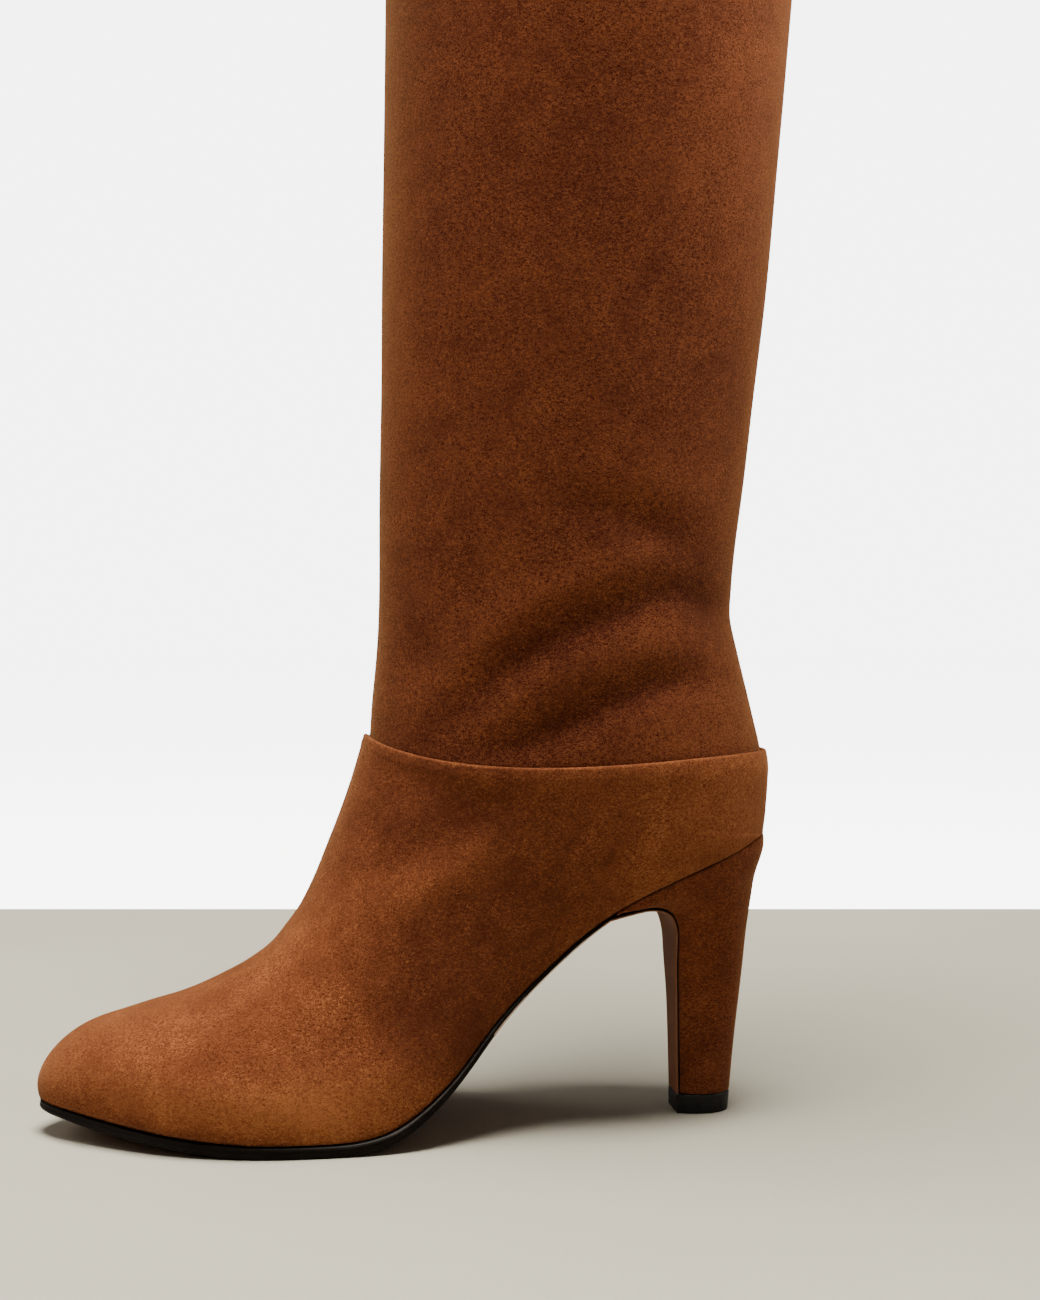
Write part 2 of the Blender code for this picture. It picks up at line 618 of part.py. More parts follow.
def heel_outline(level):
    """Half widths, s and z of one level, from the back to the breast."""
    f = 0.5 - 0.5 * np.cos(np.pi * np.linspace(0, 1, HEEL_STEPS + 1))
    f = 0.5 * f + 0.5 * np.linspace(0, 1, HEEL_STEPS + 1) ** 1.5
    back = level.wide * (1 - np.clip(1 - f / level.belly, 0, 1) ** level.power) ** (1 / level.power)
    ease = np.clip((f - level.belly) / max(1 - level.belly, 1e-6), 0, 1)
    half = back - (level.wide - level.front_half) * ease**2
    s = level.back_s + f * (level.front_s - level.back_s)
    z = level.back_z + f * (level.front_z - level.back_z) + level.bow * 4 * f * (1 - f)
    own_out = np.interp(s, BOTTOM.s, GRID[SEAT_ROW:, -1, 0])
    own_in = np.interp(s, BOTTOM.s, -GRID[SEAT_ROW:, 0, 0])
    own_out[0] = 0
    own_in[0] = 0
    out = half + level.seat * (own_out - half)
    inward = half + level.seat * (own_in - half)
    if level.seat == 1.0:
        z = np.interp(s, BOTTOM.s, BOTTOM.z) - HEEL_SEAT_GAP
    return out, inward, s, z


def heel_ring(level):
    """One level as a closed loop: back, outer side, breast, inner side."""
    out, inward, s, z = heel_outline(level)
    outer = np.stack([out, s, z], axis=1)
    inner = np.stack([-inward, s, z], axis=1)
    return np.concatenate([outer, inner[:0:-1]])


def cap(solid, ring):
    """Strips across a heel ring, from its back point to the breast."""
    outer = ring[: HEEL_STEPS + 1]
    inner = np.concatenate([ring[:1], ring[HEEL_STEPS + 1 :][::-1]])
    solid.sheet(outer, inner)


def heel_solid(rings, name, material):
    """Closes a stack of rings, the highest first."""
    solid = Solid()
    numbers = [solid.add(ring) for ring in rings]
    for upper_ring, lower_ring in zip(numbers[:-1], numbers[1:]):
        solid.sheet(lower_ring, upper_ring, closed=True)
    cap(solid, numbers[0])
    cap(solid, numbers[-1])
    return solid.build(name, material, smooth_angle=0.6)


def make_heel(material):
    rings = [heel_ring(level) for level in HEEL_LEVELS]
    return heel_solid(rings, "heel", material)


def make_heel_tip(material):
    """The top lift, as wide as the heel's foot and flush with its breast."""
    foot = HEEL_LEVELS[-1]
    top = foot._replace(front_s=TIP_FRONT, front_z=TIP_HEIGHT, back_z=TIP_HEIGHT)
    ground = top._replace(front_z=0.0, back_z=0.0, back_s=foot.back_s + TIP_TAPER)
    rings = [heel_ring(top), heel_ring(ground)]
    return heel_solid(rings, "heel_tip", material)


def main():
    for old in list(bpy.data.objects):
        bpy.data.objects.remove(old)
    suede = paint("tan suede", (0.26, 0.085, 0.022), 0.95)
    board = paint("insole leather", (0.45, 0.26, 0.14), 0.6)
    leather = paint("sole leather", (0.16, 0.09, 0.05), 0.5)
    rubber = paint("black rubber", (0.02, 0.02, 0.02), 0.6)
    make_upper(suede)
    make_shaft(suede)
    make_insole(board)
    make_outsole(leather)
    make_heel(suede)
    make_heel_tip(rubber)


main()
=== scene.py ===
"""Looks for the left over-the-knee boot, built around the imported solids.

Tables are in millimetres: s runs forward from the back of the heel to the toe,
z runs up from the ground, x is positive on the outer side of the foot.
"""

from collections import namedtuple

import bmesh
import bpy
import numpy as np
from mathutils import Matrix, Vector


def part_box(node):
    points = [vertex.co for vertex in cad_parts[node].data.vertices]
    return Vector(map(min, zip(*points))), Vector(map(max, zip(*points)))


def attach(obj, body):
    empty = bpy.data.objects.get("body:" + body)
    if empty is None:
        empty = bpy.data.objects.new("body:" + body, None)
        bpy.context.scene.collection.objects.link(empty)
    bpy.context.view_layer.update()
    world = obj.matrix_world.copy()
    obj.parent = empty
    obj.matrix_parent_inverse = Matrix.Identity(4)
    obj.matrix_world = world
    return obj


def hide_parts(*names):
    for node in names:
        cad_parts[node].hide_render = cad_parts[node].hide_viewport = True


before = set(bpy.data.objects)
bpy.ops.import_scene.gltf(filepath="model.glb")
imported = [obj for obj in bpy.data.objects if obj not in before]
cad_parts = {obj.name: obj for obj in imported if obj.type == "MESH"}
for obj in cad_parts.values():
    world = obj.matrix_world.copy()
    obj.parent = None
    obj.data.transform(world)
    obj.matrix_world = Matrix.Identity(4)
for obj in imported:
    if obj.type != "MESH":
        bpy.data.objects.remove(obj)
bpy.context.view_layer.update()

MM = 0.001
UP = np.array([0, 0, 1.0])

# ---------------------------------------------------------------- sizes

UPPER_WALL = 1.6  # suede with its lining
SHAFT_WALL = 1.6
PIECE_GAP = 0.3
LAP_STEP = UPPER_WALL + PIECE_GAP  # the collar lies this far outside the shaft
LASTING_MARGIN = 7.0
INSOLE_THICKNESS = 2.2
INSOLE_CROWN = 0.5
TIP_HEIGHT = 6.0
SHAFT_BACK = -28.9
TOE_TIP = 228.6
SHAFT_TUCK = 7.0  # length of shaft hidden inside the collar
TOP_BAND = 6.0  # its rows lie close together under the top edge
HEM_AT = 15.0
HEM_GROOVE = 0.3
TOP_FADE = 40.0  # the leg's creases die away over this length below the top
TUCK_FADE = 9.0  # and over this length above the collar
FEATHER_RADIUS = 0.7  # how the suede turns in over the sole
LEAST_RADIUS = 0.05  # a smaller turn is left sharp
RIM_STEPS = 6
FLAT_BACK = 133.0
FLAT_FRONT = 163.0
CENTRE_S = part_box("shaft")[1].y / MM + SHAFT_BACK + LAP_STEP

Section = namedtuple(
    "Section",
    "name back_s back_z front_s front_z dip edge_out edge_in wide_out wide_in"
    " rise front_power back_power",
    defaults=(0.49, 2.0, 2.0),
)


def rows_of(kind, *rows):
    """A table of named rows from plain ones."""
    return [kind(*row) for row in rows]


# One outer form for leg and foot. Each section is a plane across the boot, from
# a point at the back or underneath to a point on the front ridge. It lies level
# in the leg and fans out to upright at the toe. edge is the half width at the
# sole's edge, wide the half width at the fullest place, which lies at the share
# rise of the way to the front. dip lets the sides sag below the plane.
SECTIONS = rows_of(
    Section,
    ("top edge", SHAFT_BACK, 630, 122.6, 630, 0, 0, 0, 62.9, 62.9),
    ("over knee", -24.0, 555, 122.9, 555, 0, 0, 0, 61.6, 61.6),
    ("knee", -18.0, 470, 123.4, 470, 0, 0, 0, 59.6, 59.6),
    ("calf top", -12.4, 392, 123.9, 392, 0, 0, 0, 57.0, 57.0),
    ("calf", -8.1, 338, 124.4, 338, 0, 0, 0, 54.4, 54.4),
    ("calf base", -4.0, 292, 125.0, 292, 0, 0, 0, 51.4, 51.4),
    ("shin", -0.8, 257, 125.4, 257, 0, 0, 0, 48.6, 48.6),
    ("low shin", 3.1, 225, 125.6, 225, 0, 0, 0, 45.9, 45.9),
    ("upper ankle", 6.8, 194, 126.2, 194, 0.3, 0, 0, 43.4, 43.4),
    ("ankle", 9.9, 165, 126.3, 166, 1.2, 0, 0, 41.6, 41.6),
    ("notch", 8.5, 149, 126.8, 151, 2.4, 0, 0, 41.2, 41.2),
    ("low ankle", 4.9, 134, 127.9, 138, 3.7, 0, 0, 41.1, 41.1),
    ("over collar", 2.0, 122.8, 128.8, 127.8, 4.8, 0, 0, 41.1, 41.1),
    ("collar", 0.3, 114.9, 129.3, 120.6, 5.2, 0, 0, 41.0, 41.0),
    ("under collar", -0.2, 107.5, 130.0, 117.8, 4.6, 0, 0, 40.6, 40.6),
    ("counter", 0.1, 99.0, 130.6, 116.0, 3.4, 0, 0, 40.0, 40.0, 0.49, 2.0, 1.95),
    ("seat", 0.9, 90.6, 131.3, 113.6, 2.3, 0, 0, 39.1, 39.1, 0.49, 2.0, 1.9),
    ("seat back", 4.0, 88.6, 132.1, 110.8, 1.6, 11.8, 11.8, 38.8, 38.7, 0.49, 2.0, 1.9),
    ("seat side", 12.0, 85.4, 133.1, 107.5, 1.0, 19.4, 19.4, 38.3, 38.0, 0.48, 2.0, 1.95),
    ("seat middle", 23.0, 81.1, 134.5, 103.3, 0.5, 23.8, 23.6, 37.6, 37.0, 0.48),
    ("seat front", 39.0, 74.6, 137.1, 96.0, 0.2, 25.9, 25.2, 36.6, 35.6, 0.47),
    ("waist back", 57.0, 65.3, 140.5, 87.4, 0, 26.8, 25.0, 35.8, 34.4, 0.46),
    ("waist", 76.0, 50.3, 144.8, 76.7, 0, 28.2, 24.0, 35.6, 33.8, 0.42),
    ("waist front", 92.0, 34.8, 149.9, 66.7, 0, 31.4, 25.0, 37.0, 34.8, 0.36),
    ("joint back", 103.0, 21.5, 154.0, 61.1, 0, 34.2, 28.0, 38.6, 36.6, 0.32),
    ("joint", 113.0, 12.5, 157.9, 56.4, 0, 37.2, 31.4, 40.4, 38.3, 0.30),
    ("outer ball", 123.5, 6.5, 162.2, 52.9, 0, 39.8, 34.4, 42.0, 40.0, 0.28),
    ("ball", 135.0, 4.1, 167.0, 49.8, 0, 41.2, 36.9, 43.0, 41.2, 0.27),
    ("inner ball", 148.0, 3.8, 173.5, 46.4, 0, 41.6, 38.7, 43.6, 42.0, 0.27),
    ("ball front", 160.0, 3.8, 179.9, 43.4, 0, 41.0, 39.0, 43.0, 42.0, 0.28),
    ("toe root", 172.0, 4.3, 187.2, 40.7, 0, 38.8, 37.8, 40.9, 40.6, 0.29),
    ("toe spring", 184.0, 5.2, 194.8, 38.6, 0, 34.8, 34.8, 37.2, 37.6, 0.31, 2.05, 2.0),
    ("toe back", 196.0, 6.4, 203.3, 36.1, 0, 28.9, 30.1, 31.4, 32.6, 0.33, 2.1, 2.0),
    ("toe", 206.0, 7.7, 211.0, 34.0, 0, 22.7, 24.3, 25.1, 26.8, 0.34, 2.1, 2.0),
    ("toe front", 214.0, 8.8, 217.5, 31.1, 0, 17.3, 18.5, 19.6, 20.8, 0.33, 2.05, 2.0),
    ("toe end", 220.5, 9.7, 222.9, 27.0, 0, 12.4, 13.0, 14.0, 14.6, 0.30),
    ("nose back", 225.0, 10.3, 226.6, 22.6, 0, 8.3, 8.6, 9.1, 9.4, 0.25, 1.9, 2.0),
    ("nose", 227.3, 10.6, 228.7, 18.3, 0, 5.1, 5.2, 5.4, 5.5, 0.18, 1.7, 2.0),
    ("nose tip", 228.3, 10.7, 229.4, 14.3, 0, 2.8, 2.8, 2.9, 2.9, 0.10, 1.5, 2.0),
    ("tip", TOE_TIP, 10.7, TOE_TIP, 10.7, 0, 0, 0, 0, 0, 0.10, 1.4, 2.0),
)
DIP_LEAN = 0.94  # the sag of the ankle seam is deeper towards the front
DIP_POWER = 1.5

SoleStation = namedtuple("SoleStation", "name s z half_out half_in edge core")

# The sole strip leaves the upper at the wedge, runs under the arch and turns
# down the breast of the heel. s and z are on the face against the heel.
SOLE_FLAP = rows_of(
    SoleStation,
    ("wedge end", 55.6, 65.7, 26.7, 25.0, 1.1, 1.4),
    ("wedge", 51.4, 66.6, 25.9, 24.7, 1.0, 1.3),
    ("arch rise", 46.4, 67.4, 24.5, 23.9, 0.9, 1.2),
    ("arch crown", 42.2, 67.8, 22.8, 22.6, 0.9, 1.0),
    ("arch", 38.2, 67.1, 20.4, 20.4, 0.9, 0.9),
    ("arch turn", 34.9, 65.6, 17.8, 17.8, 0.9, 0.9),
    ("breast top", 32.7, 63.1, 15.4, 15.4, 0.9, 0.9),
    ("high breast", 31.3, 59.6, 13.2, 13.2, 0.9, 0.9),
    ("breast", 30.6, 50.0, 10.0, 10.0, 0.9, 0.9),
    ("middle breast", 30.2, 40.3, 8.3, 8.3, 0.9, 0.9),
    ("low breast", 29.8, 26.0, 7.0, 7.0, 0.9, 0.9),
    ("breast foot", 29.4, 6.3, 6.4, 6.4, 0.9, 0.9),
)

SoleEdge = namedtuple("SoleEdge", "s edge core rim")

# Edge and middle thickness of the sole under the upper, and how far its edge
# stands out past the upper.
SOLE_EDGES = rows_of(
    SoleEdge,
    (57.0, 1.2, 1.6, 0.2),
    (68.0, 1.2, 2.6, 0.25),
    (80.0, 1.5, 3.1, 0.3),
    (92.0, 1.8, 2.7, 0.5),
    (103.0, 2.2, 2.6, 0.8),
    (113.0, 2.9, 3.1, 1.0),
    (123.5, 3.7, 3.7, 1.1),
    (170.0, 3.7, 3.7, 1.0),
    (196.0, 3.6, 3.6, 0.8),
    (214.0, 3.3, 3.3, 0.4),
    (229.0, 2.8, 2.8, -0.2),
)

HeelLevel = namedtuple(
    "HeelLevel", "name back_s back_z front_s front_z front_half wide belly bow power seat"
)

# Levels of the heel block, from the seat down to the top lift. belly is where
# the outline is widest, as a share of the way to the breast; bow lifts the
# middle above the straight line; seat is the share of the upper's own outline.
HEEL_LEVELS = rows_of(
    HeelLevel,
    ("seat", 1.1, 88.5, 53.2, 67.2, 26.4, 26.4, 1.0, 2.8, 2.5, 1.0),
    ("cover edge", 1.6, 84.6, 46.3, 67.9, 24.0, 25.2, 0.95, 2.0, 2.5, 0.5),
    ("wedge", 2.7, 81.0, 42.0, 68.2, 22.2, 23.8, 0.85, 1.4, 2.4, 0.2),
    ("arch", 3.8, 77.2, 38.0, 67.5, 19.8, 22.2, 0.75, 0.9, 2.3, 0.0),
    ("arch turn", 4.6, 73.4, 34.6, 65.9, 17.2, 20.2, 0.68, 0.5, 2.2, 0.0),
    ("breast top", 5.2, 69.2, 32.3, 63.3, 14.9, 18.0, 0.62, 0.3, 2.2, 0.0),
    ("high breast", 6.0, 63.0, 30.95, 59.7, 12.8, 15.6, 0.58, 0.1, 2.1, 0.0),
    ("breast", 7.2, 52.0, 30.25, 50.0, 9.7, 12.7, 0.55, 0.0, 2.1, 0.0),
    ("middle", 8.3, 41.0, 29.85, 40.3, 8.0, 10.7, 0.55, 0.0, 2.1, 0.0),
    ("low", 10.0, 26.4, 29.45, 26.0, 6.7, 9.0, 0.55, 0.0, 2.1, 0.0),
    ("foot", 12.0, 6.3, 29.05, 6.3, 6.2, 8.0, 0.55, 0.0, 2.1, 0.0),
)
HEEL_SEAT_GAP = 0.35  # between the heel block and the upper it carries
TIP_FRONT = 30.3
TIP_TAPER = 0.5  # the back of the heel tip leans in towards the ground


def spline(knots, values, at):
    """Natural cubic spline through the values, read at the places given."""
    gaps = np.diff(knots)
    count = len(knots)
    matrix = np.eye(count)
    right = np.zeros(count)
    for i in range(1, count - 1):
        matrix[i, i - 1] = gaps[i - 1]
        matrix[i, i] = 2 * (gaps[i - 1] + gaps[i])
        matrix[i, i + 1] = gaps[i]
        slopes = np.diff(values[i - 1 : i + 2]) / gaps[i - 1 : i + 1]
        right[i] = 6 * (slopes[1] - slopes[0])
    bend = np.linalg.solve(matrix, right)
    k = np.clip(np.searchsorted(knots, at, side="right") - 1, 0, count - 2)
    ahead = (knots[k + 1] - at) / gaps[k]
    behind = 1 - ahead
    curve = (ahead**3 - ahead) * bend[k] + (behind**3 - behind) * bend[k + 1]
    return ahead * values[k] + behind * values[k + 1] + curve * gaps[k] ** 2 / 6


def splined(knots, table, at):
    """Every column of a table, splined over its rows."""
    return np.stack([spline(knots, column, at) for column in table.T], axis=1)


def travelled(steps):
    """The distance gone before each step and after the last."""
    return np.concatenate([[0.0], np.cumsum(steps)])


def bell(value, middle, width):
    """1 at the middle, dying away to both sides over the width."""
    return np.exp(-(((value - middle) / width) ** 2))


def smooth(low, high, value):
    """0 below low, 1 above high, and a smooth step between."""
    t = np.clip((value - low) / (high - low), 0, 1)
    return t * t * (3 - 2 * t)


def blend(first, last, share):
    return first * (1 - share) + last * share


def arched(share):
    """0 at both ends of the way across and 1 in the middle."""
    return 1 - (2 * share - 1) ** 2


def between(rows, column, s):
    """The named column of a table whose rows run along s, at s."""
    places = [row.s for row in rows]
    return np.interp(s, places, [getattr(row, column) for row in rows])


def unit(vectors):
    lengths = np.linalg.norm(vectors, axis=-1, keepdims=True)
    return vectors / np.maximum(lengths, 1e-9)


FORM = np.array([row[1:] for row in SECTIONS], dtype=float)
COLUMN = {name: i for i, name in enumerate(Section._fields[1:])}
ROW = {row.name: i for i, row in enumerate(SECTIONS)}
EDGE_COLUMNS = (COLUMN["edge_out"], COLUMN["edge_in"])

# ---------------------------------------------------------------- the form


def form_knots():
    """Distance along the boot of each section, by how far its points move."""
    moves = np.diff(FORM[:, [0, 1, 2, 3, COLUMN["wide_out"]]], axis=0)
    widths = np.diff(FORM[:, COLUMN["edge_out"]])
    return travelled(np.sqrt((moves**2).sum(axis=1) + widths**2))


KNOTS = form_knots()
COLLAR = KNOTS[ROW["collar"]]
SEAT = KNOTS[ROW["seat"]]


def sections_at(places):
    """Every column of the section table, at places along the boot."""
    seat = ROW["seat"]
    found = np.empty((len(places), FORM.shape[1]))
    for column in range(FORM.shape[1]):
        if column in EDGE_COLUMNS:
            edge = spline(KNOTS[seat:], FORM[seat:, column], np.maximum(places, SEAT))
            found[:, column] = np.where(places > SEAT, np.maximum(edge, 0), 0)
        else:
            found[:, column] = spline(KNOTS, FORM[:, column], places)
    return found


def half_section(row, side, steps):
    """Half widths and shares of the way forward, from the ridge to the edge."""
    wide = row[COLUMN["wide_" + side]]
    edge = row[COLUMN["edge_" + side]]
    rise = row[COLUMN["rise"]]
    front_power = row[COLUMN["front_power"]]
    back_power = row[COLUMN["back_power"]]
    if wide <= 0:
        return np.zeros(len(steps)), np.zeros(len(steps))
    kept = max(1 - min(edge / wide, 0.999) ** back_power, 1e-6)
    depth = rise / kept ** (1 / back_power)
    last = np.pi / 2 + np.arcsin(min((rise / depth) ** (back_power / 2), 1.0))
    angles = last * steps
    front = angles <= np.pi / 2
    power = np.where(front, front_power, back_power)
    across = wide * np.abs(np.sin(angles)) ** (2 / power)
    along = np.abs(np.cos(angles)) ** (2 / power)
    share = np.where(front, rise + (1 - rise) * along, rise - depth * along)
    across[-1] = edge
    share[-1] = 0
    return across, share


def form_grid(places, steps):
    """Points of the form: a row for each place, inner edge to outer edge."""
    half = len(steps) - 1
    grid = np.zeros((len(places), 2 * half + 1, 3))
    for i, row in enumerate(sections_at(places)):
        back = row[:2]
        front = row[2:4]
        for side, sign in (("out", 1), ("in", -1)):
            across, share = half_section(row, side, steps)
            turn = 2 * share - 1
            round_part = np.sqrt(np.maximum(1 - turn**2, 0)) ** DIP_POWER
            sag = row[COLUMN["dip"]] * round_part * (1 + DIP_LEAN * turn)
            index = half + sign * np.arange(half + 1)
            grid[i, index, 0] = sign * across
            grid[i, index, 1] = back[0] + share * (front[0] - back[0])
            grid[i, index, 2] = back[1] + share * (front[1] - back[1]) - sag
    return grid


def grid_normals(grid, closed_rows):
    """Outward normal at each point of the form's grid."""
    corners = grid[:-1, :-1], grid[1:, :-1], grid[1:, 1:], grid[:-1, 1:]
    faces = np.cross(corners[3] - corners[1], corners[2] - corners[0])
    normals = np.zeros_like(grid)
    normals[:-1, :-1] += faces
    normals[1:, :-1] += faces
    normals[1:, 1:] += faces
    normals[:-1, 1:] += faces
    seam = normals[:closed_rows, 0] + normals[:closed_rows, -1]
    normals[:closed_rows, 0] = seam
    normals[:closed_rows, -1] = seam
    return unit(normals)


# Columns lie close together at the back, where the seam runs, and by the sole.
HALF_STEPS = np.concatenate(
    [np.linspace(0, 0.965, 58), [0.974, 0.981, 0.9865, 0.991, 0.9945, 0.9973, 1.0]]
)
HALF = len(HALF_STEPS) - 1
FOOT_SPACING = 2.0
SHAFT_SPACING = 3.2
SEAT_ROW = 17  # rows of the foot above this go all the way round the ankle
TOE_ROWS = 40
TOE_FRONT = KNOTS[ROW["toe front"]]

FOOT_PLACES = np.concatenate(
    [
        np.linspace(COLLAR, SEAT, SEAT_ROW + 1)[:-1],
        np.linspace(SEAT, TOE_FRONT, int((TOE_FRONT - SEAT) / FOOT_SPACING)),
        TOE_FRONT + (KNOTS[-1] - TOE_FRONT) * np.linspace(0, 1, TOE_ROWS)[1:] ** 0.8,
    ]
)
FOOT_GRID = form_grid(FOOT_PLACES, HALF_STEPS)
FOOT_NORMALS = grid_normals(FOOT_GRID, SEAT_ROW + 1)
FOOT_NORMALS[-1] = unit(FOOT_NORMALS[-2].sum(axis=0))

# ---------------------------------------------------------------- creases

Crease = namedtuple("Crease", "name side depth width path")

# Soft troughs, and ridges where depth is negative, each along a short path of
# (s, z) on the outer side (1), the inner side (-1) or both (0).
SHAFT_CREASES = rows_of(
    Crease,
    ("heel pull", 1, 1.2, 6.0, [(78, 192), (61, 191), (46, 186), (34, 180), (27, 171)]),
    ("heel pull ridge", 1, -0.6, 7.0, [(52, 201), (36, 198), (22, 190), (15, 178)]),
    ("upper ridge", 1, -0.9, 6.0, [
        (34, 175), (48, 175), (62, 170), (79, 164), (91, 154), (101, 143), (111, 130),
    ]),
    ("ankle fold", 1, 2.5, 5.5, [
        (8, 157), (20, 161), (34, 165), (44, 164.5), (56, 160.5), (67, 157), (75, 153),
        (86, 146), (97, 136), (108, 124), (114, 116),
    ]),
    ("middle ridge", 1, -0.6, 6.5, [
        (4, 140), (24, 146), (46, 149), (66, 143), (82, 137), (96, 127), (106, 117),
    ]),
    ("lower fold", 1, 2.5, 5.5, [
        (20, 139), (34, 139), (47, 137), (61, 131), (72, 126), (84, 121), (96, 116), (108, 112),
    ]),
    ("lower ridge", 1, -0.5, 7.0, [(8, 132), (32, 131), (50, 123)]),
    ("shin dent", 1, 0.9, 5.0, [(98, 178), (101, 170), (100, 160)]),
    ("low shin dent", 1, 0.8, 5.0, [(112, 152), (115, 146), (116, 138)]),
    ("inner ankle fold", -1, 1.5, 6.5, [
        (2, 156), (20, 160), (42, 161), (64, 155), (84, 146), (98, 137),
    ]),
    ("inner ridge", -1, -0.8, 6.5, [(10, 146), (34, 149), (58, 142), (80, 131)]),
    ("inner lower fold", -1, 1.3, 6.5, [(26, 139), (50, 133), (70, 124), (86, 116)]),
    ("inner pull", -1, 0.7, 8.0, [(8, 192), (34, 190), (60, 180), (84, 168)]),
    ("calf hollow", 1, 0.9, 17.0, [(34, 232), (52, 262), (66, 300), (72, 345)]),
    ("shin hollow", 1, 0.7, 12.0, [(104, 216), (96, 250), (92, 290), (98, 330)]),
    ("shin swell", 1, -0.6, 13.0, [(116, 205), (112, 240), (114, 280)]),
    ("calf swell", 1, -0.7, 16.0, [(24, 300), (36, 340), (60, 372)]),
    ("calf band", 1, 0.6, 12.0, [(6, 342), (32, 330), (60, 310), (88, 292)]),
    ("inner calf hollow", -1, 0.8, 16.0, [(40, 236), (58, 280), (72, 330), (70, 372)]),
    ("inner swell", -1, -0.6, 15.0, [(96, 236), (90, 290), (96, 350)]),
    ("knee fold", 0, 0.9, 14.0, [(-6, 452), (24, 446), (58, 438), (92, 442)]),
    ("knee swell", 0, -0.7, 16.0, [(-8, 482), (28, 478), (66, 470), (100, 476)]),
    ("over knee fold", 0, 0.8, 16.0, [(-14, 514), (22, 512), (60, 504), (104, 512)]),
    ("top hollow", 1, 0.6, 20.0, [(10, 560), (48, 552), (90, 566)]),
    ("inner top hollow", -1, 0.6, 20.0, [(4, 572), (44, 556), (84, 560)]),
)
FOOT_CREASES = rows_of(
    Crease,
    ("instep ridge", 1, -0.8, 7.0, [(88, 92), (102, 84), (116, 76), (132, 69), (144, 65)]),
    ("instep hollow", 1, 0.9, 6.5, [(88, 105), (104, 95), (118, 87), (134, 80)]),
    ("quarter hollow", 1, 0.7, 10.0, [(70, 96), (86, 84), (98, 72), (108, 60)]),
    ("joint hollow", 1, 0.8, 8.0, [(108, 50), (120, 43), (132, 37), (146, 35)]),
    ("ball swell", 1, -0.5, 8.0, [(112, 27), (124, 23), (140, 22)]),
    ("toe hollow", 1, 0.35, 9.0, [(166, 40), (176, 30), (182, 20)]),
    ("counter hollow", 1, 0.5, 8.0, [(30, 112), (48, 106), (66, 102)]),
    ("inner instep hollow", -1, 0.6, 7.0, [(96, 103), (110, 92), (124, 83)]),
    ("inner joint hollow", -1, 0.7, 8.0, [(116, 50), (132, 42), (150, 36)]),
    ("inner swell", -1, -0.5, 8.0, [(124, 28), (142, 24), (158, 22)]),
    ("inner quarter hollow", -1, 0.7, 10.0, [(64, 92), (82, 78), (98, 62)]),
)


# Patches painted darker (dark above 0) or lighter (dark below 0) on the outer side: painted shade
# and painted light, partly the nap's lie. Each lies round (s, z), its length along the slope in
# degrees.
PaintedPatch = namedtuple("PaintedPatch", "name s z length width slope dark")
SHAFT_PAINTED_PATCHES = rows_of(
    PaintedPatch,
    ("calf light", 70, 307, 17, 12, 0, -1.0),
    ("calf high light", 84, 318, 12, 8, 0, -0.8),
    ("calf back light", 46, 287, 15, 9, 10, -0.9),
    ("shin light", 96, 258, 12, 6, -25, -0.7),
    ("shin dark", 108, 266, 9, 24, 0, 0.8),
    ("calf dark", 43, 231, 20, 11, 0, 0.7),
    ("back light", 46, 196, 24, 6, -12, -0.9),
    ("middle dark", 69, 181, 12, 11, 0, 0.9),
    ("front light", 121, 250, 5, 60, 0, -1.2),
    ("fold dark", 66, 150, 32, 6, -27, 1.4),
    ("low fold dark", 62, 127, 17, 6, -25, 0.9),
    ("collar shadow", 97, 116, 24, 5, 0, 1.1),
    ("heel light", 24, 122, 24, 13, 0, -1.2),
)
FOOT_PAINTED_PATCHES = rows_of(
    PaintedPatch,
    ("instep light", 108, 81, 30, 9, -17, -1.6),
    ("instep dark", 106, 97, 18, 7, -20, 0.6),
    ("collar light", 82, 110, 28, 7, 0, -1.0),
    ("vamp light", 146, 60, 15, 14, 0, -1.2),
    ("vamp dark", 162, 29, 30, 10, 0, 0.7),
    ("joint light", 129, 40, 8, 10, 0, -0.9),
    ("low joint light", 117, 22, 14, 8, 30, -1.0),
    ("toe light", 182, 16, 36, 6, 2, -1.2),
    ("ball light", 205, 21, 16, 6, 0, -0.5),
)


def path_distance(points, path):
    """Distance in the (s, z) plane from each point to a path, and how far along."""
    corners = np.array(path, dtype=float)
    dense = np.linspace(0, len(corners) - 1, 6 * len(corners))
    knots = np.arange(len(corners), dtype=float)
    line = splined(knots, corners, dense)
    best = np.full(points.shape[:-1], 1e9)
    along = np.zeros(points.shape[:-1])
    lengths = np.linalg.norm(np.diff(line, axis=0), axis=1)
    starts = travelled(lengths)
    for k, length in enumerate(lengths):
        step = (line[k + 1] - line[k]) / length
        offset = points[..., 1:] - line[k]
        t = np.clip(offset @ step, 0, length)
        away = np.linalg.norm(offset - t[..., None] * step, axis=-1)
        nearer = away < best
        best = np.where(nearer, away, best)
        along = np.where(nearer, starts[k] + t, along)
    return best, along / starts[-1]


CREASE_TIP = 0.25  # the share of a crease's depth that is left at its ends
CREASE_TURN = 9.0  # a crease of one side dies away over this much of the other
# the most painted shade that a trough gets
DEEPEST_CREASE_SHADE = 2.0


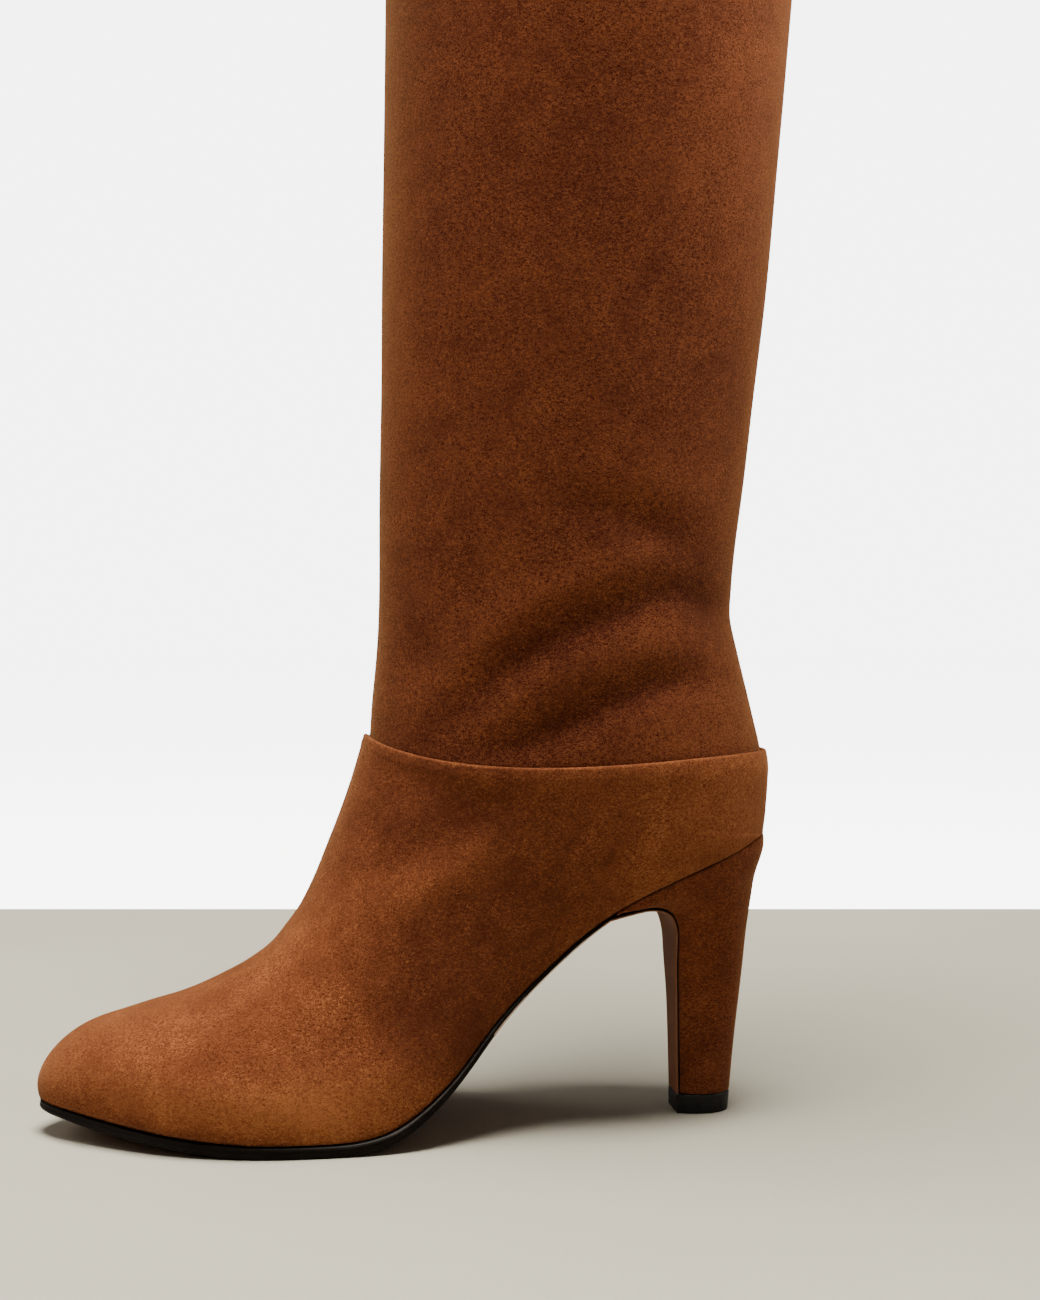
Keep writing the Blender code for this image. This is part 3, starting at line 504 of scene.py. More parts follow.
def relief(points, creases):
    """How far each point moves out along its normal, and its painted shade: darker in the troughs,
    lighter on the ridges.
    """
    height = np.zeros(points.shape[:-1])
    painted_light_and_shade = np.zeros(points.shape[:-1])
    for crease in creases:
        away, along = path_distance(points, crease.path)
        shape = bell(away, 0, crease.width)
        ends = smooth(0, 0.22, along) * smooth(0, 0.4, 1 - along)
        shape *= CREASE_TIP + (1 - CREASE_TIP) * ends
        if crease.side:
            shape *= smooth(-CREASE_TURN, CREASE_TURN, crease.side * points[..., 0])
        height -= crease.depth * shape
        # Painted shade in the troughs and painted light on the ridges, in the nap's colour.
        painted_light_and_shade += np.clip(crease.depth, -0.6, DEEPEST_CREASE_SHADE) * shape
    return height, painted_light_and_shade


SEAM_GROOVE = 0.45
SEAM_SWELL = 0.16  # of the seam allowance on both sides of the groove


def back_seam(grid, height):
    """Adds the closed seam down the middle of the back to the relief."""
    x = grid[..., 0]
    at_back = np.abs(np.arange(2 * HALF + 1) - HALF) > 0.9 * HALF
    seam = SEAM_SWELL * bell(np.abs(x), 1.5, 0.8) - SEAM_GROOVE * bell(x, 0, 0.5)
    return height + seam * at_back[None, :]


# ---------------------------------------------------------------- the bottom


class Bottom:
    """The lasted bottom of the upper, straight across and curved along s."""

    def __init__(self):
        rows = sections_at(FOOT_PLACES)[SEAT_ROW:]
        self.s = rows[:, 0]
        self.z = rows[:, 1]
        self.run = travelled(np.hypot(np.diff(self.s), np.diff(self.z)))

    def at(self, run):
        """s and z at a distance along the bottom, straight on past its ends."""
        s = np.interp(run, self.run, self.s)
        z = np.interp(run, self.run, self.z)
        before = np.minimum(run, 0)
        after = np.maximum(run - self.run[-1], 0)
        start = unit(np.array([self.s[3] - self.s[0], self.z[3] - self.z[0]]))
        end = unit(np.array([self.s[-1] - self.s[-12], self.z[-1] - self.z[-12]]))
        s = s + before * start[0] + after * end[0]
        return s, z + before * start[1] + after * end[1]

    def up(self, run):
        """The direction into the boot, as s and z."""
        reach = 2.5
        ahead = np.array(self.at(run + reach))
        behind = np.array(self.at(run - reach))
        along = unit((ahead - behind).T)
        return -along[:, 1], along[:, 0]

    def points(self, line, height):
        """A flattened line at a height above the bottom, as x, s and z."""
        run, across = line.T
        s, z = self.at(run)
        up_s, up_z = self.up(run)
        return np.stack([across, s + height * up_s, z + height * up_z], axis=-1)


BOTTOM = Bottom()


def feather_loop():
    """The upper's lower edge, flattened: distance along the bottom and across."""
    outer = np.stack([BOTTOM.run, FOOT_GRID[SEAT_ROW:, -1, 0]], axis=1)
    inner = np.stack([BOTTOM.run, FOOT_GRID[SEAT_ROW:, 0, 0]], axis=1)
    return np.concatenate([outer, inner[-2:0:-1]])


def moved_out(loop, distance):
    """A flattened loop moved outwards in its own plane by a distance."""
    tangent = unit(np.roll(loop, -1, axis=0) - np.roll(loop, 1, axis=0))
    outward = np.stack([-tangent[:, 1], tangent[:, 0]], axis=1)
    return loop + outward * np.reshape(distance, (-1, 1))


def strip_sides(loop):
    """Outer and inner line of a flattened loop, each from the seat to the toe."""
    count = len(BOTTOM.run)
    inner = np.concatenate([loop[:1], loop[count - 1 :][::-1]])
    return loop[:count], inner[:count]


FEATHER = feather_loop()

# ---------------------------------------------------------------- pieces


def to_world(points):
    """From x, s, z in table millimetres to metres in the boot's frame."""
    points = np.asarray(points, dtype=float)
    return np.stack([points[..., 0], CENTRE_S - points[..., 1], points[..., 2]], axis=-1) * MM


def in_scene(name, data):
    thing = bpy.data.objects.new(name, data)
    bpy.context.scene.collection.objects.link(thing)
    return thing


class Piece:
    """Collects points and quads with their material numbers."""

    def __init__(self):
        self.points = []
        self.quads = []
        self.paints = []
        self.values = []
        self.count = 0

    def add(self, points, values=0.0):
        """Adds a block of points and returns their numbers in its shape."""
        block = np.asarray(points, dtype=float)
        shape = block.shape[:-1]
        self.points.append(block.reshape(-1, 3))
        self.values.append(np.broadcast_to(values, shape).ravel())
        numbers = np.arange(self.count, self.count + int(np.prod(shape))).reshape(shape)
        self.count += numbers.size
        return numbers

    def grid(self, numbers, paint=0, closed=False):
        """Quads over a grid of points; paint is one number, or one per column."""
        if closed:
            numbers = np.concatenate([numbers, numbers[:, :1]], axis=1)
        quads = np.stack(
            [numbers[:-1, :-1], numbers[:-1, 1:], numbers[1:, 1:], numbers[1:, :-1]], axis=-1
        )
        self.quads.append(quads.reshape(-1, 4))
        self.paints.append(np.broadcast_to(paint, quads.shape[:-1]).ravel())

    def build(self, name, materials, slot, nodes=(), sharp=0.6):
        mesh = bpy.data.meshes.new(name)
        world = to_world(np.concatenate(self.points))
        mesh.from_pydata(world.tolist(), [], np.concatenate(self.quads).tolist())
        mesh.polygons.foreach_set("material_index", np.concatenate(self.paints).astype(np.int32))
        # Each point carries its painted light and shade, and on the sole's edge its painted
        # highlight and gloss.
        painted_light_and_shade = mesh.attributes.new("painted_light_and_shade", "FLOAT", "POINT")
        painted_light_and_shade.data.foreach_set("value", np.concatenate(self.values).astype(np.float32))
        shape = bmesh.new()
        shape.from_mesh(mesh)
        bmesh.ops.remove_doubles(shape, verts=shape.verts, dist=2e-6)
        bmesh.ops.dissolve_degenerate(shape, edges=shape.edges, dist=1e-6)
        bmesh.ops.recalc_face_normals(shape, faces=shape.faces)
        shape.to_mesh(mesh)
        shape.free()
        for material in materials:
            mesh.materials.append(material)
        mesh.shade_smooth()
        mesh.set_sharp_from_angle(angle=sharp)
        piece = in_scene(name, mesh)
        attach(piece, "root")
        for node in nodes:
            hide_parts(node)
        return piece


def rim(outer, normals, along, radius, steps):
    """Half-round edge rows from the outer to the inner face of a wall."""
    centre = outer - radius * normals
    turns = np.linspace(0, np.pi, steps + 1)
    return np.array([centre + radius * (np.cos(t) * normals + np.sin(t) * along) for t in turns])


PATCH_TURN = 12.0  # painted patches die away over this much of the inner side
SOLE_SHADE_HEIGHT = 5.5  # of the painted shade along the sole
SOLE_SHADE_FROM = 128.0
SOLE_SHADE_FULL = 165.0
COLLAR_SWELL = 0.28  # of the edge folded in behind the collar


def painted_patches(points, strokes):
    """How much darker each point is painted by the listed patches: painted shade and painted light,
    partly the nap's lie.
    """
    s, z = points[..., 1], points[..., 2]
    dark = np.zeros(s.shape)
    for stroke in strokes:
        angle = np.radians(stroke.slope)
        run, rise = s - stroke.s, z - stroke.z
        along = (run * np.cos(angle) + rise * np.sin(angle)) / stroke.length
        across = (rise * np.cos(angle) - run * np.sin(angle)) / stroke.width
        outside = smooth(-PATCH_TURN, PATCH_TURN, points[..., 0])
        dark += stroke.dark * np.exp(-(along**2) - across**2) * outside
    return dark


def foot_painted_light(points):
    """The foot's painted shade over the instep and painted light over the ball, partly the nap's
    lie, with its painted patches.
    """
    s, z = points[..., 1], points[..., 2]
    instep = 2.9 * bell(s, 106, np.where(s > 106, 44, 60))
    ball = 3.4 * np.exp(-(((s - 142) / 28) ** 2) - ((z - 12) / 15) ** 2)
    return instep - ball + painted_patches(points, FOOT_PAINTED_PATCHES)


def make_upper(suede, lining):
    """The foot's suede shell, with a folded collar and a turned-in lower edge."""
    height, painted_light_and_shade = relief(FOOT_GRID, FOOT_CREASES)
    below_collar = (FOOT_PLACES - COLLAR)[:, None]
    to_edges = [np.linalg.norm(FOOT_GRID - FOOT_GRID[:, k : k + 1], axis=-1) for k in (2 * HALF, 0)]
    above_sole = np.minimum(*to_edges)
    open_row = (np.arange(len(FOOT_PLACES)) >= SEAT_ROW)[:, None]
    # Painted shade along the sole, on the forepart only.
    painted_shade_and_edge_shine = np.where(open_row, bell(above_sole, 0, SOLE_SHADE_HEIGHT), 0)
    painted_shade_and_edge_shine = painted_shade_and_edge_shine * smooth(SOLE_SHADE_FROM, SOLE_SHADE_FULL, FOOT_GRID[..., 1])
    fade = smooth(0, 14, below_collar) * np.where(open_row, smooth(1, 12, above_sole), 1)
    height = height * fade
    # The seam at the back stops at the heel seat.
    height[: SEAT_ROW + 1] = back_seam(FOOT_GRID[: SEAT_ROW + 1], height[: SEAT_ROW + 1])
    swell = COLLAR_SWELL * bell(below_collar, 5, 4.0)
    outer = FOOT_GRID + FOOT_NORMALS * (height + swell)[..., None]
    inner = FOOT_GRID - FOOT_NORMALS * UPPER_WALL
    inset = np.clip(FEATHER_RADIUS, 0, 0.25 * np.abs(FOOT_GRID[:, -1, 0]))
    for row in range(SEAT_ROW, len(FOOT_PLACES)):
        radius = inset[row]
        if radius < LEAST_RADIUS:
            continue
        for edge, columns in ((-1, range(HALF, 2 * HALF + 1)), (0, range(HALF, -1, -1))):
            corner = FOOT_GRID[row, edge]
            inwards = np.array([-np.sign(corner[0]), 0, 0])
            up = unit(FOOT_GRID[row, HALF] - corner)
            for column in columns:
                away = np.linalg.norm(outer[row, column] - corner)
                if away > radius * np.pi / 2:
                    continue
                turn = away / radius
                outer[row, column] = corner + radius * (
                    (1 - np.cos(turn)) * up + (1 - np.sin(turn)) * inwards
                )
    piece = Piece()
    # Each outer point carries its painted light and shade: creases, instep, ball and the painted
    # shade along the sole.
    outer_numbers = piece.add(outer, painted_light_and_shade * fade + foot_painted_light(FOOT_GRID) + 2.5 * painted_shade_and_edge_shine)
    inner_numbers = piece.add(inner)
    piece.grid(outer_numbers)
    piece.grid(inner_numbers, paint=1)
    along = unit(FOOT_GRID[0] - FOOT_GRID[1])
    piece.grid(piece.add(rim(outer[0], FOOT_NORMALS[0], along, UPPER_WALL / 2, RIM_STEPS)))
    for edge in (-1, 0):
        corner = outer[SEAT_ROW:, edge]
        inwards = -np.sign(FOOT_GRID[SEAT_ROW:, edge, :1])
        depth = np.minimum(LASTING_MARGIN, 0.6 * np.abs(corner[:, :1]))
        turned = corner + inwards * depth * [1, 0, 0]
        strip = np.stack([corner, turned, inner[SEAT_ROW:, edge]], axis=1)
        piece.grid(piece.add(strip[:, :2]))
        piece.grid(piece.add(strip[:, 1:]), paint=1)
    return piece.build("boot_upper", [suede, lining], "suede", ["upper"])


def make_shaft(suede, lining):
    """The leg of the boot, from a plain folded hem down into the collar."""
    end = COLLAR + SHAFT_TUCK
    rows = np.linspace(TOP_BAND, end, int((end - TOP_BAND) / SHAFT_SPACING))
    places = np.concatenate([np.linspace(0, TOP_BAND, 6)[:-1], rows])
    grid = form_grid(places, HALF_STEPS)
    normals = grid_normals(grid, len(places))
    height, painted_light_and_shade = relief(grid, SHAFT_CREASES)
    fade = (smooth(0, TOP_FADE, places) * smooth(0, TUCK_FADE, COLLAR - places))[:, None]
    height = back_seam(grid, height * fade)
    hem = -HEM_GROOVE * bell(places, HEM_AT, 1.4)[:, None]
    outer = grid + normals * (height + hem - LAP_STEP)[..., None]
    inner = grid - normals * (LAP_STEP + SHAFT_WALL - np.clip(height, -2.4, 0))[..., None]
    radius = SHAFT_WALL / 2
    outer[0, :, 2] -= radius
    inner[0, :, 2] -= radius
    piece = Piece()
    # The leg's painted shade in its creases, with its painted patches of light and shade.
    nap = painted_light_and_shade * fade + painted_patches(grid, SHAFT_PAINTED_PATCHES)
    piece.grid(piece.add(outer, nap))
    piece.grid(piece.add(inner), paint=1)
    top = rim(outer[0], unit(outer[0] - inner[0]), UP, radius, RIM_STEPS)
    piece.grid(piece.add(top))
    piece.grid(piece.add(np.stack([outer[-1], inner[-1]])), paint=1)
    return piece.build("boot_shaft", [suede, lining], "suede", ["shaft"]), outer, normals


STITCH_ROW = 6
STITCH_PITCH = 3.4
STITCH_RADIUS = 0.28
STITCH_RINGS = 6


def make_hem_stitches(outer, normals, thread):
    """A row of stitches that holds the folded hem of the top edge."""
    line = outer[STITCH_ROW] + 0.12 * normals[STITCH_ROW]
    both = np.concatenate([line, normals[STITCH_ROW]], axis=1)
    run = travelled(np.linalg.norm(np.diff(line, axis=0), axis=1))
    count = int(run[-1] / STITCH_PITCH)
    pitch = run[-1] / count
    bulge = np.sin(np.linspace(0.15, np.pi - 0.15, STITCH_RINGS))
    turns = np.linspace(0, 2 * np.pi, 6, endpoint=False)[:, None]
    piece = Piece()
    for k in range(count):
        places = (k + np.linspace(0.12, 0.88, STITCH_RINGS)) * pitch
        found = np.stack([np.interp(places, run, column) for column in both.T], axis=1)
        rings = [
            row[:3] + STITCH_RADIUS * thick * (np.cos(turns) * row[3:] + np.sin(turns) * UP)
            for row, thick in zip(found, bulge)
        ]
        piece.grid(piece.add(np.array(rings)), closed=True)
    return piece.build("hem_stitches", [thread], "suede")


def make_insole(leather):
    """The padded sock over the insole board, crowned and rounded at its edge."""
    inset = UPPER_WALL + 3 * PIECE_GAP
    low = UPPER_WALL + PIECE_GAP
    edge = 0.6
    kept = slice(6, -8)  # clear of the folds at the heel and the toe
    rings = []
    for offset, height in (
        (-3.0, low),
        (0.0, low),
        (0.0, low + INSOLE_THICKNESS - edge),
        (-0.2, low + INSOLE_THICKNESS - 0.2),
        (-edge, low + INSOLE_THICKNESS),
    ):
        outer, inner = strip_sides(moved_out(FEATHER, offset - inset))
        rings.append((outer[kept], inner[kept], height))
    columns = [BOTTOM.points(outer, height) for outer, _, height in rings]
    outer, inner, height = rings[-1]
    for share in np.linspace(0, 1, 13)[1:-1]:
        crown = INSOLE_CROWN * np.sin(np.pi * share)
        columns.append(BOTTOM.points(blend(outer, inner, share), height + crown))
    columns += [BOTTOM.points(inner, height) for _, inner, height in rings[::-1]]
    piece = Piece()
    numbers = piece.add(np.stack(columns, axis=1))
    piece.grid(numbers, closed=True)
    for end in (0, -1):
        ring = numbers[end]
        count = len(ring) // 2
        piece.grid(np.stack([ring[:count], ring[::-1][:count]]))
    return piece.build("insole_sock", [leather], "insole_leather", ["insole"])


SOLE_ACROSS = 20
FLAP_ROWS = 90
FLAT_EASE = 9.0  # the sole comes down to the ground over this length
TOP_CLEARANCE = 0.06  # keeps the edge's upper face off the ground
BARE_EDGE_FRONT = 104.0  # the edge ink covers the whole edge in front of this
BARE_STEP = 6.0  # one more strip of the edge is bare for each of these behind it
MOST_BARE = 3
SHINE_AT = 118.0  # at the joint the edge's upper corner gets most of its painted highlight and gloss
SHINE_AHEAD = 26.0
SHINE_BEHIND = 40.0
SMOOTHING = 30  # passes that round the change from flat tread to curved sole


def sole_profile(thickness):
    """Offset from the rim and depth of each point round the sole's edge."""
    soft = np.minimum(0.45, 0.28 * thickness)
    low = np.minimum(0.9, 0.36 * thickness)
    return [
        (-1.2 * soft, 0 * thickness),
        (-0.35 * soft, 0.25 * soft),
        (0 * soft, soft),
        (0 * soft, 0.30 * thickness),
        (-0.22 * soft, 0.33 * thickness),
        (-0.22 * soft, 0.38 * thickness),
        (0.02 * soft, 0.42 * thickness),
        (0.05 * soft, 0.62 * thickness),
        (0 * soft, thickness - low),
        (-0.4 * low, thickness - 0.35 * low),
        (-1.7 * low, thickness),
    ]


def make_outsole(edge_paint, leather, bare_edge_painted_light):
    """Leather sole: forepart and waist, then the strip down the heel's breast."""
    s_rows = BOTTOM.s
    loop_s = BOTTOM.at(FEATHER[:, 0])[0]
    rims = between(SOLE_EDGES, "rim", loop_s)
    lines, sides = [], []
    for offset, depth in sole_profile(between(SOLE_EDGES, "edge", loop_s)):
        pair = strip_sides(moved_out(FEATHER, rims + offset))
        lines.append(pair)
        depths = strip_sides(-PIECE_GAP - depth)
        sides.append([BOTTOM.points(line, height) for line, height in zip(pair, depths)])
    edge = between(SOLE_EDGES, "edge", s_rows)
    core = between(SOLE_EDGES, "core", s_rows)
    shares = np.linspace(0, 1, SOLE_ACROSS + 1)[1:-1]
    columns = [outer for outer, _ in sides]
    for share in shares:
        thick = edge + (core - edge) * arched(share)
        columns.append(BOTTOM.points(blend(*lines[-1], share), -PIECE_GAP - thick))
    columns += [inner for _, inner in sides[::-1]]
    for share in shares:
        columns.append(BOTTOM.points(blend(*lines[0][::-1], share), -PIECE_GAP))
    forepart = np.stack(columns, axis=1)[s_rows >= SOLE_EDGES[0].s]
    flatten = smooth(FLAT_BACK - FLAT_EASE, FLAT_BACK, forepart[..., 1])
    flatten *= smooth(-FLAT_FRONT - FLAT_EASE, -FLAT_FRONT, -forepart[..., 1])
    count = len(sides)
    under = slice(count, count + len(shares))  # columns of the face on the ground
    low = np.zeros(forepart.shape[1], bool)
    low[under.start - 1 : under.stop + 1] = True
    z = np.where(low, forepart[..., 2] * (1 - flatten), forepart[..., 2])
    for _ in range(SMOOTHING):
        z[1:-1] = np.where(low, 0.25 * z[:-2] + 0.5 * z[1:-1] + 0.25 * z[2:], z[1:-1])
    forepart[..., 2] = np.maximum(z, np.where(low, 0, TOP_CLEARANCE))

    flap = np.array([row[1:] for row in SOLE_FLAP], dtype=float)[::-1]
    knots = travelled(np.hypot(*np.diff(flap[:, :2], axis=0).T))
    flap = splined(knots, flap, np.linspace(0, knots[-1], FLAP_ROWS))
    line = np.concatenate([flap[:, :2], forepart[:1, 0, 1:]])
    step = unit(np.gradient(line, axis=0))[:-1]
    down = np.stack([step[:, 1], -step[:, 0]], axis=1)

    def strip(side, offset, depth):
        half = flap[:, 2] if side > 0 else flap[:, 3]
        return np.column_stack([side * (half + offset), flap[:, :2] + down * depth[:, None]])

    profile = sole_profile(flap[:, 4])
    columns = [strip(1, offset, depth) for offset, depth in profile]
    for share in shares:
        points = blend(strip(1, *profile[-1]), strip(-1, *profile[-1]), share)
        points[:, 1:] += down * ((flap[:, 5] - flap[:, 4]) * arched(share))[:, None]
        columns.append(points)
    columns += [strip(-1, offset, depth) for offset, depth in profile[::-1]]
    for share in shares:
        columns.append(blend(strip(-1, *profile[0]), strip(1, *profile[0]), share))
    strips = np.stack(columns, axis=1)
    strips[..., 2] = np.maximum(strips[..., 2], TIP_HEIGHT + PIECE_GAP)

    section = np.concatenate([strips, forepart])
    piece = Piece()
    # Along the upper corner of the edge the ink is painted lighter and made glossier: a painted
    # highlight.
    edge_shine = np.zeros(section.shape[:2])
    along = section[:, 0, 1]
    corner = [1, 2, under.stop + count - 2, under.stop + count - 3]
    reach = np.where(along > SHINE_AT, SHINE_AHEAD, SHINE_BEHIND)
    edge_shine[:, corner] = 0.5 * bell(along, SHINE_AT, reach)[:, None]
    numbers = piece.add(section, edge_shine)
    paint = np.zeros(section.shape[:2], int)
    paint[:, under.start - 1 : under.stop] = 1
    # At the waist the rounded lower edge is left bare, in a lighter copy of the leather that is
    # partly painted light. Up the arch and down the breast it is of the sole's own leather.
    for row in range(len(strips), len(section)):
        if along[row] < BARE_EDGE_FRONT:
            wide = int(np.clip((BARE_EDGE_FRONT - along[row]) / BARE_STEP, 1, MOST_BARE))
            paint[row, under.start - 1 - wide : under.start - 1] = 2
            paint[row, under.stop : under.stop + wide] = 2
    paint[: len(strips), under.start - 5 : under.stop + 4] = 1
    piece.grid(numbers, paint=paint[:-1], closed=True)
    first = numbers[0]
    piece.grid(np.stack([first[-len(shares) :][::-1], first[under]]))
    materials = [edge_paint, leather, bare_edge_painted_light]
    return piece.build("sole", materials, "sole_leather", ["outsole"], sharp=0.9)


HEEL_SIDE = 40
HEEL_ROWS = 72
COVER_RADIUS = 0.6
FOOT_RADIUS = 0.3


def heel_ring(level, offset=0.0):
    """One level as a closed loop: back, outer side, breast, inner side."""
    even = np.linspace(0, 1, HEEL_SIDE + 1)
    f = 0.25 - 0.25 * np.cos(np.pi * even) + 0.5 * even**1.5
    inner_part = np.clip(1 - f / level.belly, 0, 1) ** level.power
    back = level.wide * (1 - inner_part) ** (1 / level.power)
    ease = np.clip((f - level.belly) / max(1 - level.belly, 1e-6), 0, 1)
    half = back - (level.wide - level.front_half) * ease**2
    s = level.back_s + f * (level.front_s - level.back_s)
    z = level.back_z + f * (level.front_z - level.back_z) + level.bow * 4 * f * (1 - f)
    if level.seat == 1.0:
        z = np.interp(s, BOTTOM.s, BOTTOM.z) - HEEL_SEAT_GAP
    out = half + level.seat * (np.interp(s, BOTTOM.s, FOOT_GRID[SEAT_ROW:, -1, 0]) - half)
    inward = half + level.seat * (np.interp(s, BOTTOM.s, -FOOT_GRID[SEAT_ROW:, 0, 0]) - half)
    out[0] = inward[0] = 0
    loop = np.concatenate([np.stack([s, out], axis=1), np.stack([s, -inward], axis=1)[:0:-1]])
    loop = moved_out(loop, offset)
    heights = np.concatenate([z, z[:0:-1]])
    return np.stack([loop[:, 1], loop[:, 0], heights], axis=1)


def lidded(rings):
    """A piece from a stack of heel rings, closed by strips at both ends."""
    piece = Piece()
    numbers = piece.add(rings)
    piece.grid(numbers, closed=True)
    for ring in (numbers[0], numbers[-1]):
        outer = ring[: HEEL_SIDE + 1]
        inner = np.concatenate([ring[:1], ring[HEEL_SIDE + 1 :][::-1]])
        piece.grid(np.stack([outer, inner]))
    return piece


def make_heel(suede):
    """The suede-covered heel block, its cover turned in under the heel seat."""
    coarse = np.array([heel_ring(level) for level in HEEL_LEVELS])
    steps = np.linalg.norm(np.diff(coarse, axis=0), axis=2).mean(axis=1)
    knots = travelled(steps)
    dense = np.linspace(0, knots[-1], HEEL_ROWS)
    rings = splined(knots, coarse.reshape(len(coarse), -1), dense).reshape(HEEL_ROWS, -1, 3)
    turned = []
    for turn in np.radians([90, 60, 30]):
        ring = heel_ring(HEEL_LEVELS[0], offset=-COVER_RADIUS * (1 - np.cos(turn)))
        ring[:, 2] -= COVER_RADIUS * (1 - np.sin(turn))
        turned.append(ring)
    # The first and the last dense ring give way to the rounded edges.
    rings[0, :, 2] -= COVER_RADIUS
    foot = heel_ring(HEEL_LEVELS[-1], offset=-FOOT_RADIUS)
    rings[-1, :, 2] += FOOT_RADIUS
    rings = np.concatenate([turned, rings, [foot]])
    return lidded(rings).build("heel_cover", [suede], "suede", ["heel"], sharp=0.8)


def make_heel_tip(rubber):
    foot = HEEL_LEVELS[-1]
    top = foot._replace(front_s=TIP_FRONT, front_z=TIP_HEIGHT, back_z=TIP_HEIGHT)
    ground = top._replace(front_z=0.0, back_z=0.0, back_s=foot.back_s + TIP_TAPER)
    rings = []
    for level, offset, lift in (
        (top, -0.3, 0.0),
        (top, 0.0, -0.3),
        (ground, 0.0, 0.35),
        (ground, -0.12, 0.1),
        (ground, -0.4, 0.0),
    ):
        ring = heel_ring(level, offset=offset)
        ring[:, 2] += lift
        rings.append(ring)
    return lidded(np.array(rings)).build("heel_lift", [rubber], "tip_rubber", ["heel_tip"])


# ---------------------------------------------------------------- materials


class Nodes:
    """Short ways to add nodes to one material."""

    def __init__(self, name):
        self.material = bpy.data.materials.new(name)
        self.material.use_nodes = True
        self.tree = self.material.node_tree
        self.shader = self.tree.nodes["Principled BSDF"]
        self.place = self.add("ShaderNodeTexCoord").outputs["Object"]

    def put(self, socket, value):
        """Sets a socket to a constant, or links it to another node's output."""
        if isinstance(value, bpy.types.NodeSocket):
            self.tree.links.new(value, socket)
        elif value is not None:
            socket.default_value = value

    def add(self, kind, inputs=(), **settings):
        node = self.tree.nodes.new(kind)
        for key, value in settings.items():
            setattr(node, key, value)
        for key, value in dict(inputs).items():
            self.put(node.inputs[key], value)
        return node

    def set(self, **values):
        for key, value in values.items():
            self.put(self.shader.inputs[key.replace("_", " ")], value)

    def stretched(self, scale, turn=(0, 0, 0)):
        inputs = {"Scale": scale, "Rotation": turn, "Vector": self.place}
        return self.add("ShaderNodeMapping", inputs).outputs["Vector"]

    def noise(self, scale, detail=3.0, roughness=0.5, distortion=0.0, at=None):
        inputs = {"Scale": scale, "Detail": detail, "Roughness": roughness}
        inputs.update({"Distortion": distortion, "Vector": self.place if at is None else at})
        return self.add("ShaderNodeTexNoise", inputs).outputs["Fac"]

    def math(self, operation, *values):
        node = self.add("ShaderNodeMath", enumerate(values), operation=operation)
        return node.outputs[0]

    def ramp(self, factor, stops):
        node = self.add("ShaderNodeValToRGB")
        elements = node.color_ramp.elements
        while len(elements) < len(stops):
            elements.new(0.5)
        for element, (place, colour) in zip(elements, stops):
            element.position = place
            element.color = (*colour, 1.0)
        self.put(node.inputs["Fac"], factor)
        return node.outputs["Color"]

    def spread(self, factor, low, high, to_low=0.0, to_high=1.0):
        values = (factor, low, high, to_low, to_high)
        return self.add("ShaderNodeMapRange", enumerate(values)).outputs[0]

    def bump(self, height, distance, strength=1.0, under=None):
        inputs = {"Strength": strength, "Distance": distance, "Height": height, "Normal": under}
        return self.add("ShaderNodeBump", inputs).outputs["Normal"]

    def painted_light_value(self):
        """The number that each point of a piece carries for its painted light and shade, and on the
        sole's edge for its painted highlight and gloss.
        """
        return self.add("ShaderNodeAttribute", attribute_name="painted_light_and_shade").outputs["Fac"]


SUEDE_DARK = (0.36, 0.285, 0.30)
SUEDE_LIGHT = (1.9, 2.25, 2.05)


def suede_material(name, tone, nap=1.0):
    """Brushed suede: curly nap, stroked patches, and the painted shade and light that each point
    carries in creases, patches and along the sole.
    """
    n = Nodes(name)
    lying = n.stretched((1.0, 0.6, 1.0))
    curl = n.noise(2000, detail=2.0, roughness=0.55, distortion=1.4, at=lying)
    fine = n.noise(4200, detail=2.0, roughness=0.6, distortion=0.8)
    patch = n.noise(110, detail=4.0, roughness=0.6, distortion=0.8)
    cloud = n.noise(14, detail=2.0, roughness=0.5, distortion=0.4)
    stroke = n.noise(40, detail=3.0, roughness=0.6, distortion=1.2)
    mix = n.math("MULTIPLY_ADD", curl, 3.3 * nap, -1.65 * nap)
    mix = n.math("MULTIPLY_ADD", fine, 2.0 * nap, n.math("ADD", mix, -1.0 * nap))
    mix = n.math("MULTIPLY", mix, n.spread(stroke, 0.3, 0.7, 0.65, 1.35))
    for value, weight in ((stroke, 0.5), (patch, 0.4), (cloud, 0.2)):
        mix = n.math("MULTIPLY_ADD", value, weight, n.math("ADD", mix, -weight / 2))
    # The painted light and shade that each point carries lightens or darkens the nap.
    mix = n.math("MULTIPLY_ADD", n.painted_light_value(), -0.12, mix)
    mix = n.math("ADD", mix, 0.5)
    dark, light = (tuple(np.multiply(tone, factor)) for factor in (SUEDE_DARK, SUEDE_LIGHT))
    normal = n.bump(n.math("MULTIPLY_ADD", fine, 0.4, curl), 0.0002, strength=0.8)
    n.set(
        Base_Color=n.ramp(mix, [(0.0, dark), (0.5, tone), (1.0, light)]),
        Normal=n.bump(patch, 0.0006, strength=0.2, under=normal),
    )
    n.set(Roughness=0.95, Specular_IOR_Level=0.05)
    n.set(Sheen_Weight=0.24, Sheen_Roughness=0.35, Sheen_Tint=(1.0, 0.5, 0.2, 1.0))
    return n.material


